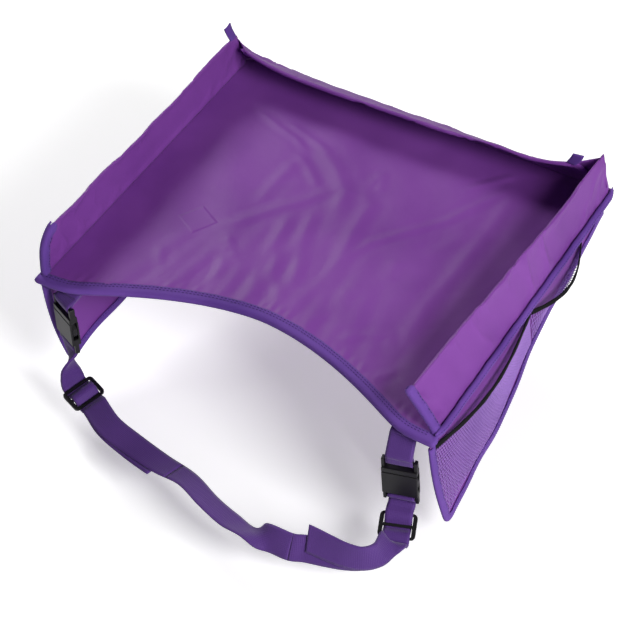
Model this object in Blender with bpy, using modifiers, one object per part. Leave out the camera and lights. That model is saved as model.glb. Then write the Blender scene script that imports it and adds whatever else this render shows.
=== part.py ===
"""A travel tray table that straps round a child's car seat.

A stiff board lies between two coated covers. Three padded walls stand on its edge, the front edge is cut
in a bow for the child's waist, two side flaps carry net pockets, and a webbing strap with two release
buckles and two sliders closes behind the seat. Metres, +Z up, the origin under the middle of the tray.
"""

import math

import bmesh
import bpy
import numpy as np
from mathutils import Matrix, Vector

# Cloth, board and the clearance between pieces that touch
cloth = 0.001
board = 0.003
gap = 0.0003
overrun = 0.002

# Tray floor
tray_width = 0.400
tray_depth = 0.360
front_lip = 0.010
bow_depth = 0.060
bow_half_width = 0.172
bow_fullness_share = 1.75
bow_ease = 0.008
sewn_margin = 0.0115
seam_press = 0.0002
board_inset = 0.009
binding_width = 0.009
board_corner = 0.012

# Walls
wall_height = 0.048
wall_thickness = 0.005
wall_bend = 0.010
wall_end_setback = 0.002
back_wall_setback = 0.005
left_wall_pull_in = 0.020
right_wall_pull_in = 0.002
back_wall_left_pull_in = 0.002
back_wall_right_pull_in = 0.018
gusset_rounds = (0.0050, 0.0100)
lean_shares = (0.0, 0.14, 0.3, 0.6, 0.86, 1.0)
left_wall_leans = (1.0, 2.0, 3.0, 3.0, 3.0, 4.0)
right_wall_leans = (33.0, 31.0, 27.0, 18.0, 12.0, 10.0)
back_wall_leans = (41.0, 53.0, 54.0, 52.0, 42.0, 10.0)
tab_width = 0.010
tab_length = 0.012
tab_lean = 0.005
tab_foot_lift = (0.0010, 0.0006)
piping_radius = 0.0015
piping_lift = 0.0028

# Side flaps and their net pockets
flap_depth = 0.0985
flap_gap = 0.0008
flap_inset = 0.0015
flap_slant = 0.012
flap_rear_setback = 0.012
flap_y_shares = (0.0, 0.14, 0.32, 0.50, 0.62, 0.78, 1.0)
flap_depth_shares = (1.0, 0.94, 0.87, 0.53, 0.38, 0.24, 0.11)
left_swings = (-8.0, -12.0, -18.0, -23.0, -23.0, -20.0, -14.0)
right_swings = (8.0, 8.0, 8.0, 7.0, 6.0, 5.0, 4.0)
flap_binding_start = 0.005
pocket_margin = 0.002
front_pocket_shares = (0.0, 0.49)
rear_pocket_shares = (0.51, 0.82)
mouth_end = 0.0095
front_mouth_sag = 0.016
rear_mouth_sag = 0.007
front_pocket_bulge = 0.014
rear_pocket_bulge = 0.010
elastic_width = 0.005

# Webbing
webbing_width = 0.025
webbing = 0.0012
floor_drop = 0.101
anchor_share = 0.88
read_half_width = 0.200
read_half_depth = 0.180
anchor_sewn = 0.028
anchor_bend = 0.003
anchor_lead = 0.0048
lead_lean_share = 0.55
slider_release = 0.0195
strap_lead = 0.007
slider_run = 0.0145
strap_spread = 0.009
strap_hold = 0.0018

# Release buckles, in their own frame: x across, y through, z along the pull, from the plug's webbing bar
buckle_width = 0.033
ear_width = 0.0030
ear_rise = 0.004
bar = 0.0024
shoulder_top = 0.0065
shoulder_end = 0.012
shoulder_thickness = 0.0084
plate = 0.0044
tongue_width = 0.006
tongue_end = 0.030
arm_root = 0.0115
arm_width = 0.003
arm_tip = 0.0305
arm_bulge_from = 0.0190
arm_bulge_to = 0.0265
socket_end = 0.0385
socket_thickness = 0.009
socket_wall = 0.0018
cavity_end = 0.0335
side_wall_from = 0.0318
leg_end = 0.0485
strap_bar = 0.045
edge_round = 0.0006
bar_round = 0.0010
right_buckle_place = (0.1790, -0.1970, -0.0290)
right_buckle_turn = (0.0, -3.5, 12.0)
left_buckle_place = (-0.1765, -0.1925, -0.0128)
left_buckle_turn = (0.0, -5.5, -28.0)

# Sliders
slider_width = 0.034
slider_length = 0.024
slider_thickness = 0.0024
slider_rail = 0.0038
slider_bar = 0.0024
slider_corner = 0.004

# Places worked out from the sizes above
floor_top = 2 * cloth + board + 2 * gap
half_width = tray_width / 2
half_depth = tray_depth / 2
wall_centre = gap + wall_thickness / 2
wall_foot = floor_top + gap
margin = wall_thickness + gap
rear_edge = half_depth + margin

SMOOTH_ANGLE = math.radians(35)
LEFT = -1
RIGHT = 1


def start_clean():
    for obj in list(bpy.data.objects):
        bpy.data.objects.remove(obj, do_unlink=True)


start_clean()
parts = bpy.data.collections.new("car_seat_tray_table")
tools = bpy.data.collections.new("cutters")
bpy.context.scene.collection.children.link(parts)
bpy.context.scene.collection.children.link(tools)


def material(name, colour, roughness):
    mat = bpy.data.materials.new(name)
    mat.use_nodes = True
    shader = mat.node_tree.nodes["Principled BSDF"]
    shader.inputs["Base Color"].default_value = (*colour, 1.0)
    shader.inputs["Roughness"].default_value = roughness
    shader.inputs["Metallic"].default_value = 0.0
    return mat


cover_cloth = material("coated_cloth", (0.19, 0.06, 0.30), 0.5)
tape_cloth = material("binding_tape", (0.17, 0.10, 0.37), 0.75)
web_cloth = material("webbing", (0.12, 0.05, 0.26), 0.7)
net_cloth = material("pocket_net", (0.24, 0.13, 0.44), 0.8)
black_elastic = material("elastic", (0.012, 0.012, 0.014), 0.8)
black_plastic = material("black_plastic", (0.012, 0.011, 0.013), 0.4)
board_plastic = material("board", (0.55, 0.55, 0.55), 0.6)
foam = material("foam", (0.85, 0.85, 0.85), 0.9)


def add_object(name, mesh, mat, collection=parts):
    obj = bpy.data.objects.new(name, mesh)
    collection.objects.link(obj)
    mesh.materials.append(mat)
    return obj


def as_tool(obj):
    obj.hide_render = True
    obj.display_type = "WIRE"
    return obj


def mesh_from(name, bm):
    bmesh.ops.recalc_face_normals(bm, faces=bm.faces)
    mesh = bpy.data.meshes.new(name)
    bm.to_mesh(mesh)
    bm.free()
    return mesh


def soften(mesh):
    mesh.shade_smooth()
    mesh.set_sharp_from_angle(angle=SMOOTH_ANGLE)


def loft(name, rings, mat):
    """A solid carried through closed rings of points, for tapes and sleeves whose section leans and turns.

    Each turned quad is split from its low corner to its high one, so that nested pieces split alike.
    """
    bm = bmesh.new()
    loops = [[bm.verts.new(point) for point in ring] for ring in rings]
    for first, second in zip(loops, loops[1:]):
        for i in range(len(first)):
            j = (i + 1) % len(first)
            a, b, c, d = first[i], first[j], second[j], second[i]
            if a.co.z <= b.co.z:
                bm.faces.new((a, b, c))
                bm.faces.new((a, c, d))
            else:
                bm.faces.new((a, b, d))
                bm.faces.new((b, c, d))
    bm.faces.new(loops[0][::-1])
    bm.faces.new(loops[-1])
    mesh = mesh_from(name, bm)
    soften(mesh)
    return add_object(name, mesh, mat)


def sheet(name, rows, thickness, mat):
    """A cloth piece: an open surface through rows of points, made solid by its thickness."""
    bm = bmesh.new()
    grid = [[bm.verts.new(point) for point in row] for row in rows]
    for first, second in zip(grid, grid[1:]):
        for i in range(len(first) - 1):
            bm.faces.new((first[i], first[i + 1], second[i + 1], second[i]))
    mesh = mesh_from(name, bm)
    mesh.shade_smooth()
    obj = add_object(name, mesh, mat)
    solid = obj.modifiers.new("thickness", "SOLIDIFY")
    solid.thickness = thickness
    solid.offset = 0.0
    return obj


def flat_outline(name, loops, thickness, mat, collection=parts):
    """A flat piece cut to outlines in its XY plane, the first one outside and the others its holes."""
    curve = bpy.data.curves.new(name, "CURVE")
    curve.dimensions = "2D"
    curve.fill_mode = "BOTH"
    curve.extrude = thickness / 2
    for loop in loops:
        spline = curve.splines.new("POLY")
        spline.points.add(len(loop) - 1)
        for point, (x, y) in zip(spline.points, loop):
            point.co = (x, y, 0.0, 1.0)
        spline.use_cyclic_u = True
    drawn = bpy.data.objects.new(name + "_drawn", curve)
    collection.objects.link(drawn)
    bpy.context.view_layer.update()
    drawn_now = drawn.evaluated_get(bpy.context.evaluated_depsgraph_get())
    mesh = bpy.data.meshes.new_from_object(drawn_now)
    bpy.data.objects.remove(drawn, do_unlink=True)
    bm = bmesh.new()
    bm.from_mesh(mesh)
    bmesh.ops.remove_doubles(bm, verts=bm.verts, dist=gap / 10)
    bmesh.ops.dissolve_limit(bm, angle_limit=math.radians(1), verts=bm.verts, edges=bm.edges)
    bmesh.ops.triangulate(bm, faces=bm.faces)
    bpy.data.meshes.remove(mesh)
    return add_object(name, mesh_from(name, bm), mat, collection)


def block(name, low, high, mat, rounding=0.0, collection=tools):
    """A box between two corners, with its edges rounded."""
    bm = bmesh.new()
    bmesh.ops.create_cube(bm, size=1.0)
    size = Vector(high) - Vector(low)
    centre = (Vector(high) + Vector(low)) / 2
    bmesh.ops.scale(bm, vec=size, verts=bm.verts)
    bmesh.ops.translate(bm, vec=centre, verts=bm.verts)
    if rounding:
        bmesh.ops.bevel(bm, geom=bm.edges, offset=rounding, segments=2, profile=0.5, affect="EDGES")
    return add_object(name, mesh_from(name, bm), mat, collection)


def combine(obj, others, operation):
    for other in others:
        as_tool(other)
        step = obj.modifiers.new(operation.lower(), "BOOLEAN")
        step.operation = operation
        step.solver = "EXACT"
        step.object = other


def rounded_box(width, height, radius, steps=4):
    """Points round a box with round corners, in its own plane."""
    points = []
    for quarter in range(4):
        start = quarter * math.pi / 2
        x = (width / 2 - radius) * (1 if quarter in (0, 3) else -1)
        y = (height / 2 - radius) * (1 if quarter in (0, 1) else -1)
        for k in range(steps + 1):
            angle = start + k / steps * math.pi / 2
            points.append((x + radius * math.cos(angle), y + radius * math.sin(angle)))
    return points


# Tray floor


def unit(rows):
    return rows / np.linalg.norm(rows, axis=-1, keepdims=True)


def stations(count):
    return np.linspace(0.0, 1.0, count)


def front_edge_y(x):
    """The bowed front edge: a full curve in the middle that eases into the two front corners."""
    depth = bow_depth * (1.0 - (abs(x) / bow_half_width) ** bow_fullness_share)
    eased = (depth + math.sqrt(depth * depth + bow_ease * bow_ease)) / 2
    return -half_depth - front_lip + eased


def front_edge(half, steps=44):
    """Points on the front edge from left to right, and its normal towards the child at each."""
    xs = np.linspace(-half, half, steps + 1)
    ys = np.array([front_edge_y(x) for x in xs])
    slope = np.gradient(ys, xs)
    normals = np.stack([slope, -np.ones_like(slope)], axis=1)
    normals /= np.linalg.norm(normals, axis=1)[:, None]
    return np.stack([xs, ys], axis=1), normals


def floor_outline(inset):
    half = half_width + margin - inset
    points, normals = front_edge(half)
    front = points - normals * inset
    front[0, 0] = -half
    front[-1, 0] = half
    rear = rear_edge - inset
    corner = max(board_corner - inset, cloth)
    back = [(half, rear - corner), (half - corner, rear), (-half + corner, rear), (-half, rear - corner)]
    return [tuple(p) for p in front] + back


def make_floor():
    levels = (
        ("tray_bottom_cover", 0.0, cloth, 0.0, cover_cloth),
        ("tray_board", cloth + gap, board, board_inset, board_plastic),
    )
    for name, foot, thickness, inset, mat in levels:
        obj = flat_outline(name, [floor_outline(inset)], thickness, mat)
        obj.location.z = foot + thickness / 2


def make_top_cover():
    """The cover that toys lie on, pressed down a little round its edge by the seams and the walls' feet."""
    edge, field = floor_outline(0.0), floor_outline(sewn_margin)
    rings = [[(x, y, floor_top - cloth) for x, y in edge], [(x, y, floor_top - seam_press) for x, y in edge]]
    rings.append([(x, y, floor_top) for x, y in field])
    loft("tray_top_cover", rings, cover_cloth)


def folded_tape(name, centres, outward, across, half_body, mat):
    """A tape folded over an edge: outward points off the edge, across goes through the edged cloth."""
    inner = half_body + gap
    outer = inner + cloth
    section = (
        (-binding_width, outer),
        (gap + cloth, outer),
        (gap + cloth, -outer),
        (-binding_width, -outer),
        (-binding_width, -inner),
        (gap, -inner),
        (gap, inner),
        (-binding_width, inner),
    )
    rings = []
    for centre, out, over in zip(centres, outward, across):
        rings.append([tuple(centre + out * a + over * b) for a, b in section])
    return loft(name, rings, mat)


def make_front_binding():
    points, normals = front_edge(half_width + margin)
    level = np.full((len(points), 1), floor_top / 2)
    centres = np.hstack([points, level])
    outward = np.hstack([normals, np.zeros_like(level)])
    across = np.tile(np.array([0.0, 0.0, 1.0]), (len(points), 1))
    keep = np.abs(points[:, 0]) < half_width
    folded_tape("front_edge_binding", centres[keep], outward[keep], across[keep], floor_top / 2, tape_cloth)


# Walls


def wall_section_point(lean, height, offset):
    """A point of a wall's section: it rises straight, then leans in along a short bend."""
    lean = max(lean, math.radians(0.01))
    reach = min(height, wall_bend)
    angle = lean * reach / wall_bend
    radius = wall_bend / lean
    inward = radius * (1 - math.cos(angle)) + (height - reach) * math.sin(lean)
    rise = radius * math.sin(angle) + (height - reach) * math.cos(lean)
    return offset * math.cos(angle) - inward, rise + offset * math.sin(angle)


def side_wall_point(side, along, height, offset):
    leans = left_wall_leans if side == LEFT else right_wall_leans
    share = (along + half_depth) / tray_depth
    lean = math.radians(float(np.interp(share, lean_shares, leans)))
    out, up = wall_section_point(lean, height, offset)
    return (side * (half_width + wall_centre + out), along, wall_foot + up)


def back_wall_point(along, height, offset):
    share = (along + half_width) / tray_width
    lean = math.radians(float(np.interp(share, lean_shares, back_wall_leans)))
    out, up = wall_section_point(lean, height, offset)
    return (along, half_depth + wall_centre + out, wall_foot + up)


def side_wall_end(side, height):
    pull = left_wall_pull_in if side == LEFT else right_wall_pull_in
    return half_depth - wall_end_setback - pull * height / wall_height


def wall_heights(foot, top):
    """Levels up a wall, close together in its bend, so that the sleeve and its pad bend alike."""
    bend = np.linspace(0.0, wall_bend, 6)[1:]
    return np.array([foot, *bend, (wall_bend + wall_height) / 2, top])


def back_wall_end(side, height):
    pull = back_wall_left_pull_in if side == LEFT else back_wall_right_pull_in
    return side * (half_width - back_wall_setback - pull * height / wall_height)


def sleeve_section():
    """Height and offset round a cloth sleeve that is open at its foot."""
    outer = wall_thickness / 2
    inner = outer - cloth
    heights = wall_heights(0.0, wall_height - cloth / 2)
    inside = wall_heights(0.0, wall_height - cloth)
    section = [(h, outer) for h in heights]
    section += [(wall_height, outer - cloth / 2), (wall_height, cloth / 2 - outer)]
    section += [(h, -outer) for h in heights[::-1]]
    section += [(h, -inner) for h in inside]
    section += [(h, inner) for h in inside[::-1]]
    return section


def pad_section():
    half = wall_thickness / 2 - cloth - gap
    heights = wall_heights(gap, wall_height - cloth - gap)
    return [(h, half) for h in heights] + [(h, -half) for h in heights[::-1]]


def make_side_wall(side, label):
    inset = 2 * gap
    for name, section, trim, mat in (
        ("_wall_cover", sleeve_section(), 0.0, cover_cloth),
        ("_wall_foam", pad_section(), inset, foam),
    ):
        rings = []
        for share in stations(13):
            ring = []
            for height, offset in section:
                start = -half_depth
                end = side_wall_end(side, height)
                along = start + share * (end - start)
                along = min(max(along, start + trim), end - trim)
                ring.append(side_wall_point(side, along, height, offset))
            rings.append(ring)
        loft(label + name, rings, mat)


def make_back_wall():
    for name, section, trim, mat in (
        ("back_wall_cover", sleeve_section(), 0.0, cover_cloth),
        ("back_wall_foam", pad_section(), 2 * gap, foam),
    ):
        rings = []
        for share in stations(21):
            ring = []
            for height, offset in section:
                start = back_wall_end(LEFT, height)
                end = back_wall_end(RIGHT, height)
                along = start + share * (end - start)
                along = min(max(along, start + trim), end - trim)
                ring.append(back_wall_point(along, height, offset))
            rings.append(ring)
        loft(name, rings, mat)


def make_gusset(side, label):
    """The soft corner cloth between a side wall's far end and the back wall's end."""
    rows = []
    clear = gap + cloth / 2
    for height in wall_heights(gap, wall_height):
        along = side_wall_end(side, height) + clear
        first = Vector(side_wall_point(side, along, height, 0.0))
        last = Vector(back_wall_point(back_wall_end(side, height) + side * clear, height, 0.0))
        rear = max(first.y, last.y) + gusset_rounds[side == LEFT] * (1 + height / wall_height) / 2
        corner = Vector((first.x, rear, (first.z + last.z) / 2))
        row = []
        for share in stations(7):
            row.append(tuple(first.lerp(corner, share).lerp(corner.lerp(last, share), share)))
        rows.append(row)
    sheet(label + "_corner_gusset", rows, cloth, cover_cloth)


def make_corner_tab(side, label):
    """The folded tape end that stands at the top of a far corner."""
    if side == LEFT:
        along = side_wall_end(side, wall_height) - tab_width - cloth
        rim, width = side_wall_point(side, along, wall_height, 0.0), Vector((0.0, tab_width, 0.0))
    else:
        along = back_wall_end(side, wall_height) - tab_width - cloth
        rim, width = back_wall_point(along, wall_height, 0.0), Vector((tab_width, 0.0, 0.0))
    foot = Vector(rim) + Vector((0.0, 0.0, tab_foot_lift[side == LEFT]))
    rows = []
    for share in np.linspace(0.0, 1.0, 4):
        rise = Vector((side * tab_lean * share, 0.0, tab_length * share))
        rows.append([tuple(foot + rise), tuple(foot + rise + width)])
    sheet(label + "_corner_tab", rows, 2 * cloth, web_cloth)


def make_wall_end_binding(side, label):
    heights = np.linspace(gap, wall_height - gap, 9)
    inner = wall_thickness / 2 + gap
    outer = inner + cloth
    section = (
        (-binding_width, outer),
        (gap + cloth, outer),
        (gap + cloth, -outer),
        (-binding_width, -outer),
        (-binding_width, -inner),
        (gap, -inner),
        (gap, inner),
        (-binding_width, inner),
    )
    rings = [
        [side_wall_point(side, -half_depth - forward, height, offset) for forward, offset in section]
        for height in heights
    ]
    loft(label + "_wall_end_binding", rings, tape_cloth)


def make_piping(side, label):
    """The corded seam that runs along the foot of a side wall, outside it."""
    x = side * (half_width + margin + gap)
    rings = []
    for y in (-half_depth, half_depth):
        ring = []
        for angle in np.linspace(0.0, 2 * math.pi, 11)[:-1]:
            ring.append((x + piping_radius * math.cos(angle), y, piping_lift + piping_radius * math.sin(angle)))
        rings.append(ring)
    loft(label + "_side_piping", rings, tape_cloth)


# Side flaps


def swing(side, share):
    angles = left_swings if side == LEFT else right_swings
    return math.radians(float(np.interp(share, flap_y_shares, angles)))


def flap_reach(share):
    return flap_depth * float(np.interp(share, flap_y_shares, flap_depth_shares))


def flap_point(side, share, down, offset):
    """A point of a flap: share runs from its front edge to its rear, down from its seam, offset outwards."""
    front = -half_depth + flap_slant * down / flap_depth
    rear = half_depth - flap_rear_setback
    angle = swing(side, share)
    out = down * math.sin(angle) + offset * math.cos(angle)
    up = offset * math.sin(angle) - down * math.cos(angle)
    x = side * (half_width + margin - flap_inset + out)
    return Vector((x, front + share * (rear - front), up - flap_gap))


def make_flap_panel(side, label):
    rows = []
    for share in stations(41):
        reach = flap_reach(share)
        rows.append([flap_point(side, share, reach * v, 0.0) for v in stations(11)])
    sheet(label + "_flap_panel", rows, cloth, cover_cloth)


def flap_normal(side, share, down):
    """The flap's outward face direction, from its own slopes along and down it."""
    step = cloth
    before = flap_point(side, max(share - step, 0.0), down, 0.0)
    after = flap_point(side, min(share + step, 1.0), down, 0.0)
    fall = flap_point(side, share, down + step, 0.0) - flap_point(side, share, down, 0.0)
    return np.array((after - before).cross(fall).normalized()) * -side


def make_flap_binding(side, label):
    """Tape folded over the flap's front edge, round its tip and along its lower edge."""
    reach = flap_reach(0.0)
    route = [(0.0, down) for down in np.linspace(flap_binding_start, reach, 9)]
    corner = len(route) - 1
    route += [(share, flap_reach(share)) for share in stations(41)[1:]]
    centres = np.array([flap_point(side, share, down, 0.0) for share, down in route])
    over = np.array([flap_normal(side, share, down) for share, down in route])
    along = unit(np.gradient(centres, axis=0))
    arriving = unit(centres[corner] - centres[corner - 1])
    along[corner] = unit(arriving + unit(centres[corner + 1] - centres[corner]))
    over = unit(over - along * np.sum(along * over, axis=1)[:, None])
    outward = np.cross(along, over) * side
    folded_tape(label + "_flap_binding", centres, outward, over, cloth / 2, tape_cloth)


def mouth_depth(place, sag):
    return mouth_end + sag * math.sin(math.pi * place)


def pocket_offset(place, fall, bulge):
    """How far a pocket's net stands off the flap: most at the middle of its mouth, least at its edges."""
    return cloth + 2 * gap + bulge * math.sin(math.pi * place) * (1.0 - fall) ** 1.5


def make_pocket(side, label, place, shares, sag, bulge):
    rows = []
    edge = binding_width + gap + pocket_margin
    first, last = shares
    length = tray_depth - flap_rear_setback
    if first == 0.0:
        first = edge / length
    tape_rows = []
    for step in stations(21):
        share = first + step * (last - first)
        mouth = mouth_depth(step, sag)
        foot = flap_reach(share) - edge
        row = []
        for fall in stations(9):
            offset = pocket_offset(step, fall, bulge)
            row.append(flap_point(side, share, mouth + fall * (foot - mouth), offset))
        rows.append(row)
        rim = pocket_offset(step, 0.0, bulge)
        low = mouth - gap - cloth
        tape_rows.append([flap_point(side, share, d, rim) for d in (low - elastic_width, low)])
    sheet(f"{label}_{place}_pocket", rows, cloth, net_cloth)
    sheet(f"{label}_{place}_elastic", tape_rows, cloth, black_elastic)


def make_flap(side, label):
    make_flap_panel(side, label)
    make_flap_binding(side, label)
    make_pocket(side, label, "front", front_pocket_shares, front_mouth_sag, front_pocket_bulge)
    make_pocket(side, label, "rear", rear_pocket_shares, rear_mouth_sag, rear_pocket_bulge)


# Release buckles


def buckle_frame(label, place, turn):
    frame = bpy.data.objects.new(label + "_buckle_frame", None)
    frame.empty_display_size = bar
    frame.location = place
    frame.rotation_euler = [math.radians(angle) for angle in turn]
    parts.objects.link(frame)
    return frame


def make_plug(label, frame):
    half = buckle_width / 2
    ear = half - ear_width
    thick = shoulder_thickness / 2
    plug = block(
        label + "_buckle_plug",
        (-half, -thick, -shoulder_end),
        (half, thick, -shoulder_top),
        black_plastic,
        edge_round,
        parts,
    )
    plug.parent = frame
    pieces = []
    for side in (LEFT, RIGHT):
        low = (min(side * ear, side * half), -plate / 2 - edge_round, -shoulder_end + cloth)
        high = (max(side * ear, side * half), plate / 2 + edge_round, ear_rise)
        pieces.append(block(f"{label}_plug_ear_{side}", low, high, black_plastic, edge_round))
    reach = ear + ear_width / 2
    low, high = (-reach, -bar / 2, -bar / 2), (reach, bar / 2, bar / 2)
    pieces.append(block(label + "_plug_bar", low, high, black_plastic, bar_round))
    pieces.append(
        block(
            label + "_plug_tongue",
            (-tongue_width / 2, -plate / 2, -tongue_end),
            (tongue_width / 2, plate / 2, -shoulder_end + cloth),
            black_plastic,
        )
    )
    for piece in pieces:
        piece.parent = frame
    combine(plug, pieces, "UNION")


def make_arm(label, frame, side, name):
    """A sprung arm: a flat outline in the buckle's XZ plane, its origin where it flexes."""
    half = buckle_width / 2
    root = -shoulder_end - gap
    inner = arm_root - arm_width / 2
    outer = arm_root + arm_width / 2
    outline = (
        (inner, root),
        (outer, root),
        (outer + gap, -arm_bulge_from + (arm_bulge_from - shoulder_end) / 3),
        (half, -arm_bulge_from),
        (half, -arm_bulge_to),
        (outer + gap, -arm_tip),
        (inner + cloth, -arm_tip),
        (inner + cloth, -arm_bulge_from),
    )
    loop = [(side * (x - arm_root), z - root) for x, z in outline]
    arm = flat_outline(f"{label}_buckle_{name}_arm", [loop], plate, black_plastic)
    arm.parent = frame
    arm.location = (side * arm_root, 0.0, root)
    arm.rotation_euler = (math.pi / 2, 0.0, 0.0)


def make_socket(label, frame):
    half = buckle_width / 2
    thick = socket_thickness / 2
    hollow = thick - socket_wall
    top = -shoulder_end - gap
    socket = block(
        label + "_buckle_socket",
        (-half, -thick, -socket_end),
        (half, thick, top),
        black_plastic,
        edge_round,
        parts,
    )
    socket.parent = frame
    cavity = block(
        label + "_socket_cavity",
        (-half - overrun, -hollow, -side_wall_from),
        (half + overrun, hollow, top + overrun),
        black_plastic,
    )
    deep = block(
        label + "_socket_deep",
        (-half + ear_width, -hollow, -cavity_end),
        (half - ear_width, hollow, -side_wall_from + overrun),
        black_plastic,
    )
    legs = []
    for side in (LEFT, RIGHT):
        inner = side * (half - ear_width)
        low = (min(inner, side * half), -plate / 2, -leg_end)
        high = (max(inner, side * half), plate / 2, -cavity_end - cloth)
        legs.append(block(f"{label}_socket_leg_{side}", low, high, black_plastic, edge_round))
    reach = half - ear_width / 2
    legs.append(
        block(
            label + "_socket_bar",
            (-reach, -bar / 2, -strap_bar - bar / 2),
            (reach, bar / 2, -strap_bar + bar / 2),
            black_plastic,
            bar_round,
        )
    )
    for piece in (cavity, deep, *legs):
        piece.parent = frame
    combine(socket, (cavity, deep), "DIFFERENCE")
    combine(socket, legs, "UNION")


def make_buckle(label, frame):
    make_plug(label, frame)
    make_arm(label, frame, LEFT, "left")
    make_arm(label, frame, RIGHT, "right")
    make_socket(label, frame)


# Webbing


def ribbon(name, centres, sides, width=webbing_width, thickness=webbing):
    rows = []
    for centre, side in zip(centres, sides):
        rows.append([tuple(centre - side * width / 2), tuple(centre + side * width / 2)])
    strip = sheet(name, rows, thickness, web_cloth)
    strip.modifiers.new("split", "TRIANGULATE")
    return strip


def spline_through(points, samples):
    """Centripetal curve through rows of values, sampled evenly in its parameter."""
    points = np.array(points, dtype=float)
    ends = np.vstack([2 * points[0] - points[1], points, 2 * points[-1] - points[-2]])
    out = []
    for k in range(len(points) - 1):
        p0, p1, p2, p3 = ends[k : k + 4]
        for t in np.linspace(0.0, 1.0, samples, endpoint=False):
            a = 2 * p1
            b = p2 - p0
            c = 2 * p0 - 5 * p1 + 4 * p2 - p3
            d = 3 * p1 - p0 - 3 * p2 + p3
            out.append((a + b * t + c * t * t + d * t**3) / 2)
    out.append(points[-1])
    return np.array(out)


def half_turn(centre, side, first, radius, steps=8):
    """Points of a half turn about a bar: from the first direction, over its far side, to the opposite one."""
    far = np.cross(side, first)
    angles = np.linspace(0.0, math.pi, steps + 1)
    return [centre + radius * (math.cos(a) * first + math.sin(a) * far) for a in angles]


def frame_axes(frame):
    """A buckle frame's centre and its across, back and up directions in the tray's frame."""
    bpy.context.view_layer.update()
    turn = np.array(frame.matrix_world.to_3x3())
    return np.array(frame.matrix_world.translation), turn[:, 0], turn[:, 1], turn[:, 2]


def on_tray(place):
    """Carries a place read on the photographed tray to the same place by this tray's front corners."""
    x, y, z = place
    return np.array((x * half_width / read_half_width, y + read_half_depth - half_depth, z))


def make_anchor(side, label, frame):
    """The sewn webbing that holds a plug: from under the tray's corner, round the plug's bar and back."""
    centre, across, back, up = frame_axes(frame)
    radius = bar / 2 + gap + webbing / 2
    x = side * anchor_share * half_width
    edge = front_edge_y(x)
    level = -2 * gap - cloth - gap - webbing / 2
    lay = webbing + gap

    def run(depth, offset):
        turn = edge + anchor_bend
        ease = anchor_bend - depth
        rows = [(x, edge + anchor_sewn, level - depth), (x, edge + anchor_sewn / 2, level - depth)]
        for angle in np.linspace(0.0, math.pi / 2, 4):
            y = turn - ease * math.sin(angle)
            rows.append((x, y, level - anchor_bend + ease * math.cos(angle)))
        if rows[-1][2] - centre[2] > 3 * anchor_lead:
            rows.append(tuple(centre + up * 2 * anchor_lead + back * offset))
        rows.append(tuple(centre + up * anchor_lead + back * offset))
        rows.append(tuple(centre + back * offset))
        return spline_through(rows, 4)

    rear = run(lay, radius)
    front = run(0.0, -radius)
    wrap = np.array(half_turn(centre, -across, back, radius))[1:-1]
    ramp = np.clip(np.linspace(-0.6, 1.15, len(rear)), 0.0, 1.0)[:, None]
    sides_down = unit(np.array([1.0, 0.0, 0.0]) * (1 - ramp) + across * ramp)
    sides = np.vstack([sides_down, np.tile(across, (len(wrap), 1)), sides_down[::-1]])
    ribbon(label + "_anchor_webbing", np.vstack([rear, wrap, front[::-1]]), sides)


# The strap's route over what the tray stands on, from the right slider to the left: place, height above
# resting flat, and the direction of its width
right_slider_place = (0.1872, -0.2129, -0.0936)
right_slider_along = (0.30, -0.84, -0.45)
right_slider_side = (-0.939, -0.343, 0.0)
left_slider_place = (-0.1470, -0.2150, -0.0968)
left_slider_along = (-0.93, 0.34, 0.12)
left_slider_side = (0.30, 0.94, 0.15)
laid_strap = (
    (0.1908, -0.2358, (-0.70, -0.20, 0.69)),
    (0.1900, -0.2528, (-0.40, 0.00, 0.91)),
    (0.1815, -0.2645, (-0.12, 0.25, 0.96)),
    (0.1671, -0.2711, (0.00, 0.40, 0.91)),
    (0.1502, -0.2750, (0.00, 0.52, 0.85)),
    (0.1310, -0.2787, (0.00, 0.62, 0.78)),
    (0.1176, -0.2836, (0.00, 0.64, 0.77)),
    (0.0962, -0.2837, (0.00, 0.68, 0.73)),
    (0.0760, -0.2846, (0.00, 0.90, -0.43)),
    (0.0525, -0.2801, (0.00, 0.95, -0.31)),
    (0.0253, -0.2717, (0.00, 0.94, -0.34)),
    (-0.0052, -0.2586, (0.00, 0.95, -0.31)),
    (-0.0381, -0.2526, (0.00, 0.99, -0.10)),
    (-0.0764, -0.2441, (0.10, 0.99, 0.05)),
    (-0.1060, -0.2359, (0.25, 0.95, 0.10)),
)
left_rise = (
    (-0.1670, -0.2055, -0.0850, (-0.10, 0.95, 0.20)),
    (-0.1710, -0.1990, -0.0740, (-0.55, 0.82, 0.10)),
)
right_tail_end = 9.1
left_tail_end = 16.0
main_crosses = (10.0, 14.0)
slider_rows = (2, 20)
samples_per_span = 10
slider_lift_shares = (
    (-0.7, 0.0),
    (-0.55, 1.0),
    (-0.375, 1.0),
    (-0.3, 0.78),
    (-0.127, -0.78),
    (-0.052, -1.0),
    (0.052, -1.0),
    (0.127, -0.78),
    (0.3, 0.78),
    (0.375, 1.0),
    (0.55, 1.0),
    (0.7, 0.0),
)


def bar_place(frame):
    """The centre of a socket's strap bar, its width direction and its pull direction."""
    centre, across, back, up = frame_axes(frame)
    return centre - up * strap_bar, -across, -up


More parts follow.
